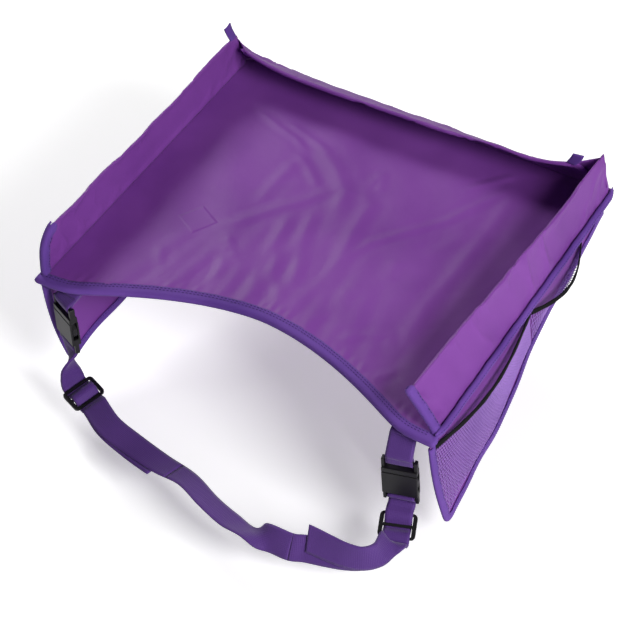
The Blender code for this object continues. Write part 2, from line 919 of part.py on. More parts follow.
def strap_rows(right_frame, left_frame):
    pair = webbing + gap / 2
    right_bar, right_side, right_pull = bar_place(right_frame)
    left_bar, left_side, left_pull = bar_place(left_frame)
    right_along = unit(np.array(right_slider_along))
    left_along = unit(np.array(left_slider_along))
    lean = unit(np.cross(right_pull, right_side) * lead_lean_share + right_pull)
    rows = [(*right_bar, *right_side), (*(right_bar + lean * strap_lead), *right_side)]
    right_slider = on_tray(right_slider_place)
    left_slider = on_tray(left_slider_place)
    rows.append((*right_slider, *right_slider_side))
    rows.append((*(right_slider + right_along * slider_run), *right_slider_side))
    for x, y, side in laid_strap:
        flatness = math.hypot(side[0], side[1])
        rise = abs(side[2]) * webbing_width / 2 + flatness * pair
        rows.append((*on_tray((x, y, rise - floor_drop)), *side))
    rows.append((*(left_slider - left_along * slider_run), *left_slider_side))
    rows.append((*left_slider, *left_slider_side))
    rows.append((*(left_slider + left_along * slider_run), *left_slider_side))
    rows += [(*on_tray((x, y, z)), *side) for x, y, z, side in left_rise]
    rows.append((*(left_bar + left_pull * strap_lead), *left_side))
    rows.append((*left_bar, *left_side))
    return rows


def straighten(line):
    """Keeps the strap straight and untwisted where it runs through a slider."""
    run = np.concatenate([[0.0], np.cumsum(np.linalg.norm(np.diff(line[:, :3], axis=0), axis=1))])
    held = line.copy()
    for row, along, side in (
        (slider_rows[0], right_slider_along, right_slider_side),
        (slider_rows[1], left_slider_along, left_slider_side),
    ):
        k = row * samples_per_span
        reach = run - run[k]
        share = np.clip((slider_release - np.abs(reach)) / (slider_release - slider_run), 0.0, 1.0)[:, None]
        share = share * share * (3 - 2 * share)
        straight = line[k, :3] + unit(np.array(along)) * reach[:, None]
        held[:, :3] += share * (straight - held[:, :3])
        held[:, 3:] += share * (np.array(side) - held[:, 3:])
    return held


def orient(centres, sides):
    along = unit(np.gradient(centres, axis=0))
    sides = unit(sides - along * np.sum(along * sides, axis=1)[:, None])
    return sides, np.cross(sides, along), along


def weave(centres, sides, faces, along):
    """Carries the strap over and under the sliders' bars."""
    lift = slider_thickness / 2 + gap + webbing + gap / 2
    shares = np.array(slider_lift_shares)
    moved = centres.copy()
    for row, sign in zip(slider_rows, (1.0, -1.0)):
        k = row * samples_per_span
        reach = (centres - centres[k]) @ along[k] / slider_length
        rise = np.interp(reach, shares[:, 0], shares[:, 1])
        near = np.linalg.norm(centres - centres[k], axis=1) < slider_length
        moved[near] += faces[near] * (rise[near] * lift * sign)[:, None]
    return moved


def make_strap(right_frame, left_frame):
    """One length of webbing: its right tail, round the right socket's bar, across, and back as the left tail."""
    line = straighten(spline_through(strap_rows(right_frame, left_frame), samples_per_span))
    straight = line[:, :3]
    sides, faces, along = orient(straight, line[:, 3:])
    make_slider("right", slider_rows[0], straight, sides, faces, along)
    make_slider("left", slider_rows[1], straight, sides, faces, along)
    centres = weave(straight, sides, faces, along)
    sides, faces, along = orient(centres, line[:, 3:])
    near, far = (webbing + gap) / 2, bar / 2 + gap + webbing / 2
    run = np.concatenate([[0.0], np.cumsum(np.linalg.norm(np.diff(centres, axis=0), axis=1))])
    from_bar = np.minimum(run, run[-1] - run)
    spread = np.clip((strap_spread - from_bar) / (strap_spread - strap_hold), 0.0, 1.0) ** 2
    offset = near + (far - near) * spread
    place = np.arange(len(centres)) / samples_per_span
    main_side = np.interp(place, main_crosses, (-1.0, 1.0))
    right_tail = centres + faces * offset[:, None]
    left_tail = centres - faces * offset[:, None]
    main = centres + faces * (offset * main_side)[:, None]
    cut_right = int(right_tail_end * samples_per_span)
    cut_left = int(left_tail_end * samples_per_span)
    right_wrap = half_turn(centres[0], sides[0], faces[0], far)[1:-1]
    left_wrap = half_turn(centres[-1], -sides[-1], faces[-1], far)[1:-1]
    path = [right_tail[:cut_right][::-1], right_wrap, main, left_wrap, left_tail[cut_left:][::-1]]
    widths = [sides[:cut_right][::-1], np.tile(sides[0], (len(right_wrap), 1)), sides]
    widths += [np.tile(sides[-1], (len(left_wrap), 1)), sides[cut_left:][::-1]]
    ribbon("adjuster_strap", np.vstack(path), np.vstack(widths))


def make_slider(label, row, centres, sides, faces, along):
    k = row * samples_per_span
    window = (slider_length - 3 * slider_bar) / 2
    inner = slider_width - 2 * slider_rail
    hole = rounded_box(inner, window, slider_bar / 4, 2)
    shift = (window + slider_bar) / 2
    loops = [rounded_box(slider_width, slider_length, slider_corner)]
    loops += [[(x, y + sign * shift) for x, y in hole] for sign in (LEFT, RIGHT)]
    slider = flat_outline(label + "_slider", loops, slider_thickness, black_plastic)
    turn = Matrix((sides[k], along[k], faces[k])).transposed().to_4x4()
    slider.matrix_world = Matrix.Translation(centres[k]) @ turn


make_floor()
make_top_cover()
make_front_binding()
for hand, word in ((LEFT, "left"), (RIGHT, "right")):
    make_side_wall(hand, word)
    make_gusset(hand, word)
    make_corner_tab(hand, word)
    make_wall_end_binding(hand, word)
    make_piping(hand, word)
    make_flap(hand, word)
make_back_wall()
right_frame = buckle_frame("right", on_tray(right_buckle_place), right_buckle_turn)
left_frame = buckle_frame("left", on_tray(left_buckle_place), left_buckle_turn)
make_buckle("right", right_frame)
make_buckle("left", left_frame)
make_anchor(RIGHT, "right", right_frame)
make_anchor(LEFT, "left", left_frame)
make_strap(right_frame, left_frame)
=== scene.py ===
"""The looks of a car seat tray table: padded cloth walls on a board, net pockets and a buckled strap."""

import math

import bpy
import numpy as np
from mathutils import Matrix, Vector


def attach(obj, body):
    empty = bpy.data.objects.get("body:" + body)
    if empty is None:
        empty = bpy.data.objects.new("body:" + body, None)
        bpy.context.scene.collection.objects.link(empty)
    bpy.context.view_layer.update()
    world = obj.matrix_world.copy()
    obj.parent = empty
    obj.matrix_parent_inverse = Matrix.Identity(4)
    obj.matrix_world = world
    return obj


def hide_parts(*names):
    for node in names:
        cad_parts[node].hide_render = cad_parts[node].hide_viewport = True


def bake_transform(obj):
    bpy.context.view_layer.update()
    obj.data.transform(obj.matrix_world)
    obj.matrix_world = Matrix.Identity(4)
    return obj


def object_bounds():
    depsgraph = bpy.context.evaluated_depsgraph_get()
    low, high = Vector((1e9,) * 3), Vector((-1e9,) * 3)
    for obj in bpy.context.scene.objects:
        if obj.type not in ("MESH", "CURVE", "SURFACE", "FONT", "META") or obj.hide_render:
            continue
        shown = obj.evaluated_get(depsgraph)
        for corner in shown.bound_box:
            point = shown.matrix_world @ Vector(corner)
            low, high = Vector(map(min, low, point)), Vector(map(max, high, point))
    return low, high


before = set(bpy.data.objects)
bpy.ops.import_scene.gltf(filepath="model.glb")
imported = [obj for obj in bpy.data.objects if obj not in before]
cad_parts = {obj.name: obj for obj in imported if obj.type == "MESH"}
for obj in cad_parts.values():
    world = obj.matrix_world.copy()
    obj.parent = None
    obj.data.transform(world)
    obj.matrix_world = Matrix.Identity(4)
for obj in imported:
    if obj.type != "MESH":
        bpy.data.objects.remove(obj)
cad_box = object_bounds()


# ---------------------------------------------------------------------------------------------------------
# The studio: a white sweep as far under the tray as a released buckle drops, a soft key from the back left,
# a broad fill from the right, and the photograph's camera, which looks down at 45 degrees from the front
# right.

BUCKLE_DROP = 0.030
GROUND = cad_box[0][2] - BUCKLE_DROP
CAMERA_AZIMUTH = math.radians(29.674)
CAMERA_ELEVATION = math.radians(45.1216)
CAMERA_PLACE = Vector((0.7785, -1.3901, 1.4868))
FOCAL_LENGTH_IN_WIDTHS = 2301.76 / 640


def look(azimuth, elevation):
    """Rotation whose -Z looks along +Y turned by azimuth and down by elevation, with its X level."""
    level = math.cos(elevation)
    back = Vector((math.sin(azimuth) * level, -math.cos(azimuth) * level, math.sin(elevation)))
    right = Vector((math.cos(azimuth), math.sin(azimuth), 0.0))
    return Matrix((right, back.cross(right), back)).transposed()


lens = bpy.data.cameras.new("camera")
lens.sensor_width = 36.0
lens.lens = lens.sensor_width * FOCAL_LENGTH_IN_WIDTHS
lens.clip_end = 20.0
camera = bpy.data.objects.new("camera", lens)
camera.matrix_world = Matrix.Translation(CAMERA_PLACE) @ look(CAMERA_AZIMUTH, CAMERA_ELEVATION).to_4x4()
bpy.context.scene.collection.objects.link(camera)
bpy.context.scene.camera = camera
bpy.context.scene.view_settings.view_transform = "Standard"


def area_lamp(name, place, aim, size, power):
    """A square lamp of the given side at place, facing aim."""
    lamp = bpy.data.lights.new(name, "AREA")
    lamp.size = size
    lamp.energy = power
    obj = bpy.data.objects.new(name, lamp)
    obj.matrix_world = Matrix.Translation(place) @ (
        (Vector(aim) - Vector(place)).to_track_quat("-Z", "Y").to_matrix().to_4x4()
    )
    bpy.context.scene.collection.objects.link(obj)


area_lamp("key", (-1.9, 1.25, 1.5), (0.0, 0.0, 0.0), 0.85, 46.0)
area_lamp("side_fill", (2.1, -0.8, 1.5), (0.1, 0.0, 0.0), 1.2, 66.0)
area_lamp("front_fill", (-0.3, -2.4, 1.6), (0.0, 0.0, 0.0), 1.6, 4.0)

def add_node(tree, kind, values=(), links=(), **settings):
    """A shader node with its settings, the values of its sockets and the outputs that feed them."""
    node = tree.nodes.new("ShaderNode" + kind)
    for setting, value in settings.items():
        setattr(node, setting, value)
    for socket, value in dict(values).items():
        node.inputs[socket].default_value = value
    for socket, output in dict(links).items():
        tree.links.new(output, node.inputs[socket])
    return node


def new_material(name, values):
    """A material with values on its shader's sockets, its node tree, and those sockets to build on."""
    mat = bpy.data.materials.new(name)
    mat.use_nodes = True
    sockets = mat.node_tree.nodes["Principled BSDF"].inputs
    for socket, value in values.items():
        sockets[socket].default_value = value
    return mat, mat.node_tree, sockets


world = bpy.data.worlds.new("studio")
world.use_nodes = True
bpy.context.scene.world = world
tree = world.node_tree
rays = add_node(tree, "LightPath").outputs
seen = {0: rays["Is Camera Ray"], 1: rays["Is Transmission Ray"]}
seen = add_node(tree, "Math", links=seen, operation="MAXIMUM")
level = add_node(tree, "MapRange", {"To Min": 0.34, "To Max": 1.0}, {"Value": seen.outputs[0]})
tree.links.new(level.outputs[0], tree.nodes["Background"].inputs["Strength"])

whites = {"Base Color": (0.96, 0.96, 0.96, 1.0), "Emission Color": (1.0, 1.0, 1.0, 1.0)}
paper, tree, sockets = new_material("white_sweep", {"Roughness": 0.9, **whites})
rays = add_node(tree, "LightPath").outputs
glow = add_node(tree, "MapRange", {"To Max": 0.42}, {"Value": rays["Is Camera Ray"]})
tree.links.new(glow.outputs[0], sockets["Emission Strength"])
ground_mesh = bpy.data.meshes.new("sweep")
ground_corners = [(x, y, GROUND) for x, y in ((-6, -6), (6, -6), (6, 6), (-6, 6))]
ground_mesh.from_pydata(ground_corners, [], [(0, 1, 2, 3)])
ground_mesh.materials.append(paper)
ground = bpy.data.objects.new("sweep", ground_mesh)
bpy.context.scene.collection.objects.link(ground)


# ---------------------------------------------------------------------------------------------------------
# The tray's floor: a loose cover of coated polyester over a stiff board, stitched down round its edge. It
# lies in slack folds that fan from the bowed front edge and run to the far corners.

HALF_WIDTH = 0.200
HALF_DEPTH = 0.180
MARGIN = 0.0053
COVER_THICKNESS = 0.0007
FLOOR_TOP = 0.0056
BOW_DEPTH = 0.060
BOW_HALF_WIDTH = 0.172
BOW_FULLNESS = 1.75
BOW_EASE = 0.008
FRONT_LIP = 0.010

FOLD_SHARE = 0.58

# Each fold's line over the board, its height and its half width, all in millimetres
FLOOR_FOLDS = (
    (((-93, -45), (-79, -26), (-64, -1), (-43, 26), (-29, 50)), 1.5, 4.5),
    (((-82, 1), (-82, 29), (-79, 73)), 1.1, 4.5),
    (((-82, 79), (-63, 65), (-42, 46)), 1.3, 3.5),
    (((-73, 102), (-40, 78), (-16, 53), (-10, 23)), 1.6, 5.0),
    (((1, 62), (14, 48), (18, 7), (24, -31), (24, -72), (21, -109)), 1.7, 5.0),
    (((30, -24), (39, 3), (64, 36), (87, 65), (103, 98), (121, 135)), 1.3, 3.5),
    (((127, 134), (128, 75), (127, 17), (124, -45), (129, -111)), 1.5, 5.0),
    (((-29, 18), (-21, -15), (-8, -50), (1, -75)), 1.4, 4.5),
    (((-45, -2), (-39, -38), (-35, -75), (-30, -108)), 1.6, 4.5),
    (((-77, -65), (-67, -94), (-63, -112)), 1.1, 4.0),
    (((-82, -55), (-60, -79)), 0.9, 3.5),
    (((49, -58), (50, -87), (48, -115)), 1.4, 5.0),
    (((72, -4), (77, -37)), 0.8, 5.0),
    (((74, -124), (94, -104), (114, -96), (120, -111)), 1.0, 4.0),
    (((-149, 117), (-119, 105), (-96, 98), (-78, 86)), 1.0, 2.8),
    (((-113, 114), (-88, 107), (-61, 97)), 1.0, 3.0),
    (((0, 73), (3, 91), (13, 69)), 0.9, 4.0),
    (((124, -152), (139, -131)), 0.8, 3.5),
    (((-35, -44), (-20, -77), (2, -105)), 1.2, 4.5),
    (((83, 112), (99, 134), (118, 157)), 1.0, 3.0),
    (((-130, -98), (-116, -121)), 0.8, 3.5),
    (((93, 8), (106, 44), (117, 63)), 0.7, 5.0),
)
SQUARE_PRINT_CENTRE = (-0.119, -0.049)
SQUARE_PRINT_SIDE = 0.026
SQUARE_PRINT_TURN = math.radians(-30)


def front_edge(x):
    """y of the bowed edge: depth times one minus the share of the half width to a power, eased to the lip."""
    depth = BOW_DEPTH * (1.0 - (np.abs(x) / BOW_HALF_WIDTH) ** BOW_FULLNESS)
    return -HALF_DEPTH - FRONT_LIP + (depth + np.sqrt(depth**2 + BOW_EASE**2)) / 2


def fold_heights(x, y, folds):
    """Sum over the folds of height times a bell of the distance to the fold's line, thinning at its ends."""
    total = np.zeros_like(x)
    for line, height, half in folds:
        line = np.array(line) / 1000.0
        lengths = np.linalg.norm(np.diff(line, axis=0), axis=1)
        whole = lengths.sum()
        best = np.full_like(x, 1e9)
        place = np.zeros_like(x)
        start = 0.0
        for a, b, length in zip(line[:-1], line[1:], lengths):
            t = np.clip(((x - a[0]) * (b[0] - a[0]) + (y - a[1]) * (b[1] - a[1])) / length**2, 0.0, 1.0)
            away = np.hypot(x - a[0] - t * (b[0] - a[0]), y - a[1] - t * (b[1] - a[1]))
            nearer = away < best
            best = np.where(nearer, away, best)
            place = np.where(nearer, (start + t * length) / whole, place)
            start += length
        taper = np.clip(np.minimum(place, 1 - place) * 5 + 0.25, 0.0, 1.0)
        half = 1.25 * half
        bell = np.exp(-((best / (half / 1000.0)) ** 2))
        bell -= 0.3 * np.exp(-(((best * 1000 - 2.1 * half) / half) ** 2))
        total += height / 1000.0 * bell * taper
    return total


def floor_waves(x, y):
    """The cover's slack: swells that fan from the bow, small gathers along its tape, and a low drift."""
    behind = y - front_edge(x)
    fan = x + 0.22 * behind * np.sign(x + 0.02) * np.clip(np.abs(x + 0.02) / 0.1, 0.0, 1.0)
    swell = np.sin(fan * 2 * math.pi / 0.037 + 1.1 * np.sin(x * 31))
    swell += 0.6 * np.sin(fan * 2 * math.pi / 0.023 + 2.0)
    swell = 0.00055 * swell * np.exp(-((behind - 0.035) ** 2) / 0.0032)
    swell = swell * np.clip(1.3 - np.abs(x) / 0.13, 0.0, 1.0)
    gathers = np.sin(x * 2 * math.pi / 0.0105 + 2 * np.sin(x * 45)) * (0.5 + 0.5 * np.sin(x * 71 + 1))
    gathers = 0.00028 * gathers * np.exp(-((behind - 0.012) / 0.007) ** 2)
    drift = 0.0006 * np.sin(x * 41 + 1.0) * np.sin(y * 37 + 0.4) + 0.0003 * np.sin(x * 97 + y * 61)
    return swell + gathers + drift


def grid_mesh(name, points, uv, closed=False):
    """A mesh over rows and columns of points, with uv in metres; a closed one is a tube with capped ends."""
    rows, columns = points.shape[:2]
    index = np.arange(rows * columns).reshape(rows, columns)
    after = np.roll(index, -1, axis=1)
    if not closed:
        index, after = index[:, :-1], after[:, :-1]
    quads = np.stack([index[:-1], after[:-1], after[1:], index[1:]], axis=-1).reshape(-1, 4)
    mesh = bpy.data.meshes.new(name)
    caps = [index[0, ::-1].tolist(), index[-1].tolist()] if closed else []
    mesh.from_pydata(points.reshape(-1, 3).tolist(), [], quads.tolist() + caps)
    corners = np.empty(len(mesh.loops), dtype=np.int32)
    mesh.loops.foreach_get("vertex_index", corners)
    places = uv.reshape(-1, 2)[corners]
    places[quads.size :] = 0.0
    layer = mesh.uv_layers.new(name="cut")
    layer.data.foreach_set("uv", places.ravel())
    mesh.shade_smooth()
    return mesh


def piece(name, mesh, material, body, slot, *nodes):
    """Links a mesh as a piece of the object, with its finish, body and the nodes it replaces; slot is not
    used.
    """
    obj = bpy.data.objects.new(name, mesh)
    bpy.context.scene.collection.objects.link(obj)
    mesh.materials.clear()
    mesh.materials.append(material)
    if body:
        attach(obj, body)
    if nodes:
        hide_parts(*nodes)
    return obj


def thicken(obj, thickness):
    solid = obj.modifiers.new("thickness", "SOLIDIFY")
    solid.thickness = thickness
    solid.offset = 0.0
    return obj


def cloth_piece(name, surface, thickness, material, body, slot, *nodes):
    """A piece of cloth, tape or webbing of the given thickness, from its middle surface's points and cut."""
    return thicken(piece(name, grid_mesh(name, *surface), material, body, slot, *nodes), thickness)


def srgb(red, green, blue):
    """Linear colour of an 8 bit sRGB one: the value over 255, raised by the display curve."""
    share = np.array([red, green, blue]) / 255.0
    linear = np.where(share <= 0.04045, share / 12.92, ((share + 0.055) / 1.055) ** 2.4)
    return (*[float(v) for v in linear], 1.0)


def cloth_material(name, colour, shade, roughness, sheen, weave_pitch, weave_depth, crease_depth):
    """A woven cloth: two crossed thread waves on its cut, drifts of shade, and a bump of fine creases."""
    finish = {"Roughness": roughness, "Sheen Weight": sheen, "Sheen Roughness": 0.5}
    mat, tree, sockets = new_material(name, {**finish, "Specular IOR Level": 0.22})
    cut = add_node(tree, "TexCoord").outputs
    drift = add_node(tree, "TexNoise", {"Scale": 9.0, "Detail": 3.0}, {"Vector": cut["Object"]})
    share = add_node(tree, "MapRange", {"From Min": 0.35, "From Max": 0.6}, {"Value": drift.outputs["Fac"]})
    mix = add_node(tree, "Mix", {"A": shade, "B": colour}, {"Factor": share.outputs[0]}, data_type="RGBA")
    tree.links.new(mix.outputs["Result"], sockets["Base Color"])
    cross = add_node(tree, "Math", operation="MULTIPLY")
    waves = {"Scale": 1.0 / weave_pitch / 3.18, "Distortion": 0.4}
    for k, direction in enumerate("XY"):
        wave = add_node(tree, "TexWave", waves, {"Vector": cut["UV"]}, bands_direction=direction)
        tree.links.new(wave.outputs["Fac"], cross.inputs[k])
    weave = add_node(tree, "Bump", {"Distance": weave_depth, "Strength": 0.6}, {"Height": cross.outputs[0]})
    grain = {"Scale": 34.0, "Detail": 4.0, "Roughness": 0.55, "Distortion": 0.8}
    crease = add_node(tree, "TexNoise", grain, {"Vector": cut["Object"]})
    feeds = {"Height": crease.outputs["Fac"], "Normal": weave.outputs["Normal"]}
    soft = add_node(tree, "Bump", {"Distance": crease_depth, "Strength": 0.5}, feeds)
    tree.links.new(soft.outputs["Normal"], sockets["Normal"])
    return mat


cover_cloth = cloth_material(
    "coated_polyester", srgb(131, 70, 161), srgb(119, 60, 149), 0.5, 0.02, 0.0006, 0.00006, 0.0009
)


def square_print(mat):
    """Adds a faint raised square: a step where the larger of two turned distances passes its half side."""
    tree = mat.node_tree
    normal = tree.nodes["Principled BSDF"].inputs["Normal"]
    place = add_node(tree, "TexCoord").outputs
    lie = {"Location": (*SQUARE_PRINT_CENTRE, 0.0), "Rotation": (0.0, 0.0, SQUARE_PRINT_TURN)}
    turn = add_node(tree, "Mapping", lie, {"Vector": place["Object"]}, vector_type="TEXTURE")
    apart = add_node(tree, "SeparateXYZ", links={0: turn.outputs[0]})
    larger = add_node(tree, "Math", operation="MAXIMUM")
    for k, axis in enumerate("XY"):
        size = add_node(tree, "Math", links={0: apart.outputs[axis]}, operation="ABSOLUTE")
        tree.links.new(size.outputs[0], larger.inputs[k])
    edge = {"From Min": SQUARE_PRINT_SIDE / 2 + 0.0016, "From Max": SQUARE_PRINT_SIDE / 2 - 0.0012}
    band = add_node(tree, "MapRange", edge, {"Value": larger.outputs[0]}, interpolation_type="SMOOTHSTEP")
    feeds = {"Height": band.outputs[0], "Normal": normal.links[0].from_socket}
    relief = add_node(tree, "Bump", {"Distance": 0.0006, "Strength": 0.8}, feeds)
    tree.links.new(relief.outputs["Normal"], normal)


floor_cloth = cover_cloth.copy()
floor_cloth.name = "floor_polyester"
square_print(floor_cloth)


def floor_grid(columns, rows):
    """x and y over the tray: columns across its width, rows from the bowed edge to the far seam."""
    across = np.linspace(-1.0, 1.0, columns) * (HALF_WIDTH + MARGIN)
    share = np.linspace(0.0, 1.0, rows)[:, None]
    front = front_edge(across)
    return np.tile(across, (rows, 1)), front + share * (HALF_DEPTH + MARGIN - front)


x, y = floor_grid(260, 230)
free = np.clip((HALF_WIDTH - np.abs(x)) / 0.03, 0, 1) * np.clip((HALF_DEPTH - y) / 0.03, 0, 1)
free *= np.clip((y - front_edge(x)) / 0.012, 0.0, 1.0)
z = FOLD_SHARE * fold_heights(x, y, FLOOR_FOLDS) + floor_waves(x, y) + 0.0009
z = 0.0051 + np.clip(z, 0.0, None) * (0.15 + 0.85 * free)
cut = np.stack([x, y], axis=-1)
top_surface = np.dstack([cut, z]), cut
floor_cover = cloth_piece(
    "floor_cover", top_surface, COVER_THICKNESS, floor_cloth, "tray", "cover_cloth", "tray_top_cover"
)

x, y = floor_grid(120, 100)
z = 0.0005 - 0.0004 * np.abs(np.sin(x * 23 + 0.6) * np.sin(y * 19))
cut = np.stack([x, y], axis=-1)[:, ::-1]
under_surface = np.dstack([cut, z[:, ::-1]]), cut
under_cover = cloth_piece(
    "under_cover", under_surface, COVER_THICKNESS, cover_cloth, "tray", "cover_cloth", "tray_bottom_cover"
)


# The board between the covers is a plain polypropylene sheet, cut from extruded stock with a faint mottle.
board_plastic, tree, sockets = new_material("board_plastic", {"Roughness": 0.55})
place = add_node(tree, "TexCoord").outputs
mottle = add_node(tree, "TexNoise", {"Scale": 60.0}, {"Vector": place["Object"]})
greys = {"A": srgb(205, 205, 205), "B": srgb(225, 225, 222)}
tint = add_node(tree, "Mix", greys, {"Factor": mottle.outputs["Fac"]}, data_type="RGBA")
tree.links.new(tint.outputs["Result"], sockets["Base Color"])
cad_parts["tray_board"].data.materials[0] = board_plastic


# ---------------------------------------------------------------------------------------------------------
# The front edge's binding: a woven tape folded over the covers along the bow and sewn through with one row
# of lockstitch in a darker thread.

TAPE_WIDTH = 0.0082
TAPE_THICKNESS = 0.0009
TAPE_END = 0.0034
tape_cloth = cloth_material(
    "binding_tape", srgb(112, 72, 164), srgb(92, 56, 144), 0.8, 0.06, 0.0009, 0.0002, 0.0008
)
thread = cloth_material(
    "sewing_thread", srgb(62, 34, 104), srgb(50, 26, 88), 0.7, 0.05, 0.0003, 0.0001, 0.0002
)


def unit(rows):
    return rows / np.maximum(np.linalg.norm(rows, axis=-1, keepdims=True), 1e-12)


def run_length(path):
    """Distance along a path at each of its points."""
    return np.concatenate([[0.0], np.cumsum(np.linalg.norm(np.diff(path, axis=0), axis=1))])


def joined(*parts):
    """Coordinates that broadcast together, stacked as the rows and columns of a surface."""
    return np.stack(np.broadcast_arrays(*parts), axis=-1)


def folded_tape(path, outward, over, half_body, width=TAPE_WIDTH, wave=0.0003, closing=(0.0, 0.0)):
    """Points and cut of a tape folded over an edge: two legs and a half ellipse, swept along the edge.

    Over each closing length the two legs draw together and the tape narrows, as a cut end does.
    """
    turn = np.linspace(-math.pi / 2, math.pi / 2, 9)
    leg = np.linspace(-width, 0.0, 6)[:-1]
    lift = half_body + TAPE_THICKNESS / 2 + 0.0002
    a = np.concatenate([leg, np.cos(turn) * lift * 0.9, leg[::-1]])
    b = np.concatenate([np.full(5, -lift), np.sin(turn) * lift, np.full(5, lift)])
    run = run_length(path)[:, None]
    legs = np.clip(-a / width, 0.0, 1.0)
    ripple = wave * np.sin(run * 2 * math.pi / 0.017 + 1.0) * np.sin(run * 2 * math.pi / 0.041) * legs
    b = b[None, :] + ripple * np.sign(b)
    shut = np.ones_like(run)
    for length, from_end in zip(closing, (run, run[-1] - run)):
        if length:
            shut = shut * np.sqrt(np.clip(1 - (1 - np.minimum(from_end / length, 1)) ** 2, 0.03, 1))
    b = b * shut
    points = path[:, None] + outward[:, None] * (a[None, :] * (0.5 + shut / 2))[..., None]
    points = points + over[:, None] * b[..., None]
    across = np.concatenate([[0.0], np.cumsum(np.hypot(np.diff(a), np.diff(b[0])))])
    return points, joined(run, across[None, :])


def stitches(name, body, path, normal, pitch=0.0036, length=0.0026, thick=0.00045):
    """A piece that is a row of thread dashes: six-sided spindles that dip into the cloth at both ends."""
    run = run_length(path)
    starts = np.arange(0.5 * pitch, run[-1] - pitch, pitch)
    along = np.linspace(0.0, 1.0, 5)
    angles = np.arange(6) * math.pi / 3
    at = starts[:, None] + along[None, :] * length
    centre = np.stack([np.interp(at, run, path[:, k]) for k in range(3)], axis=-1)
    up = unit(np.stack([np.interp(at, run, normal[:, k]) for k in range(3)], axis=-1))
    ahead = unit(np.gradient(centre, axis=1))
    side = np.cross(ahead, up)
    swell = np.sqrt(np.clip(1 - (2 * along - 1) ** 2, 0.02, 1.0)) * thick / 2
    centre = centre + up * (swell - 0.0001)[None, :, None]
    ring = np.cos(angles)[:, None] * side[..., None, :] + np.sin(angles)[:, None] * up[..., None, :]
    points = centre[..., None, :] + ring * swell[None, :, None, None]
    count = len(starts)
    index = np.arange(count * 30).reshape(count, 5, 6)
    after = np.roll(index, -1, axis=2)
    quads = np.stack([index[:, :-1], after[:, :-1], after[:, 1:], index[:, 1:]], axis=-1).reshape(-1, 4)
    caps = np.concatenate([index[:, 0, ::-1], index[:, -1]])
    mesh = bpy.data.meshes.new(name)
    mesh.from_pydata(points.reshape(-1, 3).tolist(), [], quads[:, ::-1].tolist() + caps[:, ::-1].tolist())
    mesh.shade_smooth()
    return piece(name, mesh, thread, body, "webbing")


bow_x = np.linspace(-HALF_WIDTH - MARGIN - TAPE_END, HALF_WIDTH + MARGIN + TAPE_END, 240)
bow = np.stack([bow_x, front_edge(bow_x), np.full_like(bow_x, FLOOR_TOP / 2)], axis=-1)
slope = np.gradient(bow[:, 1], bow[:, 0])
bow_out = unit(np.stack([slope, -np.ones_like(slope), np.zeros_like(slope)], axis=-1))
bow_up = np.tile([0.0, 0.0, 1.0], (len(bow), 1))
front_surface = folded_tape(bow, bow_out, bow_up, FLOOR_TOP / 2, closing=(TAPE_END, TAPE_END))
cloth_piece(
    "front_tape", front_surface, TAPE_THICKNESS, tape_cloth, "tray", "binding_tape", "front_edge_binding"
)
for row, from_edge in (("outer", 0.0036), ("inner", TAPE_WIDTH - 0.0020)):
    seam_path = bow - bow_out * from_edge + bow_up * (FLOOR_TOP / 2 + TAPE_THICKNESS + 0.0003)
    stitches(row + "_front_stitching", "tray", seam_path[4:-4], bow_up[4:-4], thick=0.0006)


# ---------------------------------------------------------------------------------------------------------
# The walls: sleeves of the cover cloth over thin foam wadding, turned and sewn shut. The side walls stand
# or lean a little, the back wall has sunk inwards along its middle.

WALL_HEIGHT = 0.048
WALL_THICKNESS = 0.005
WALL_BEND = 0.010
WALL_FOOT = 0.0059
WALL_CENTRE = 0.0028
WALL_RINGS = 200
RING_POINTS = 41
LEAN_PLACES = (0.0, 0.14, 0.3, 0.6, 0.86, 1.0)
LEFT_LEANS = (1.0, 2.0, 3.0, 3.0, 3.0, 4.0)
RIGHT_LEANS = (38.0, 33.0, 27.0, 18.0, 12.0, 10.0)
BACK_LEANS = (41.0, 53.0, 54.0, 52.0, 46.0, 27.0)


def eased(place, places, values):
    """The broken line through places and values with its corners rounded by a short running mean."""
    shifts = np.linspace(-0.05, 0.05, 7)
    return sum(np.interp(place + s, places, values) for s in shifts) / len(shifts)


def wall_section(lean, height, offset):
    """Distance outwards and height of a wall: a bend of constant radius at its foot, straight above it."""
    lean = np.maximum(lean, 1e-4)
    reach = np.minimum(height, WALL_BEND)
    angle = lean * reach / WALL_BEND
    radius = WALL_BEND / lean
    inward = radius * (1 - np.cos(angle)) + (height - reach) * np.sin(lean)
    rise = radius * np.sin(angle) + (height - reach) * np.cos(lean)
    return offset * np.cos(angle) - inward, rise + offset * np.sin(angle)


def side_wall_point(side, along, height, offset):
    """A side wall's point: side is -1 or 1, along runs in y, offset points away from the tray."""
    leans = LEFT_LEANS if side < 0 else RIGHT_LEANS
    lean = np.radians(eased((along + HALF_DEPTH) / (2 * HALF_DEPTH), LEAN_PLACES, leans))
    out, up = wall_section(lean, height, offset)
    return joined(side * (HALF_WIDTH + WALL_CENTRE + out), along, WALL_FOOT + up)


def back_wall_point(along, height, offset):
    lean = np.radians(eased((along + HALF_WIDTH) / (2 * HALF_WIDTH), LEAN_PLACES, BACK_LEANS))
    out, up = wall_section(lean, height, offset)
    return joined(along, HALF_DEPTH + WALL_CENTRE + out, WALL_FOOT + up)


def side_wall_front(side, height):
    """y of a side wall's front end: the left one juts out at its foot and is rounded away at its top."""
    if side > 0:
        return np.full_like(height, -HALF_DEPTH)
    return -HALF_DEPTH - 0.003 + 0.015 * np.clip(height / WALL_HEIGHT, 0.0, 1.0) ** 5


def side_wall_rear(side, height):
    return HALF_DEPTH - 0.002 - (0.020 if side < 0 else 0.002) * height / WALL_HEIGHT


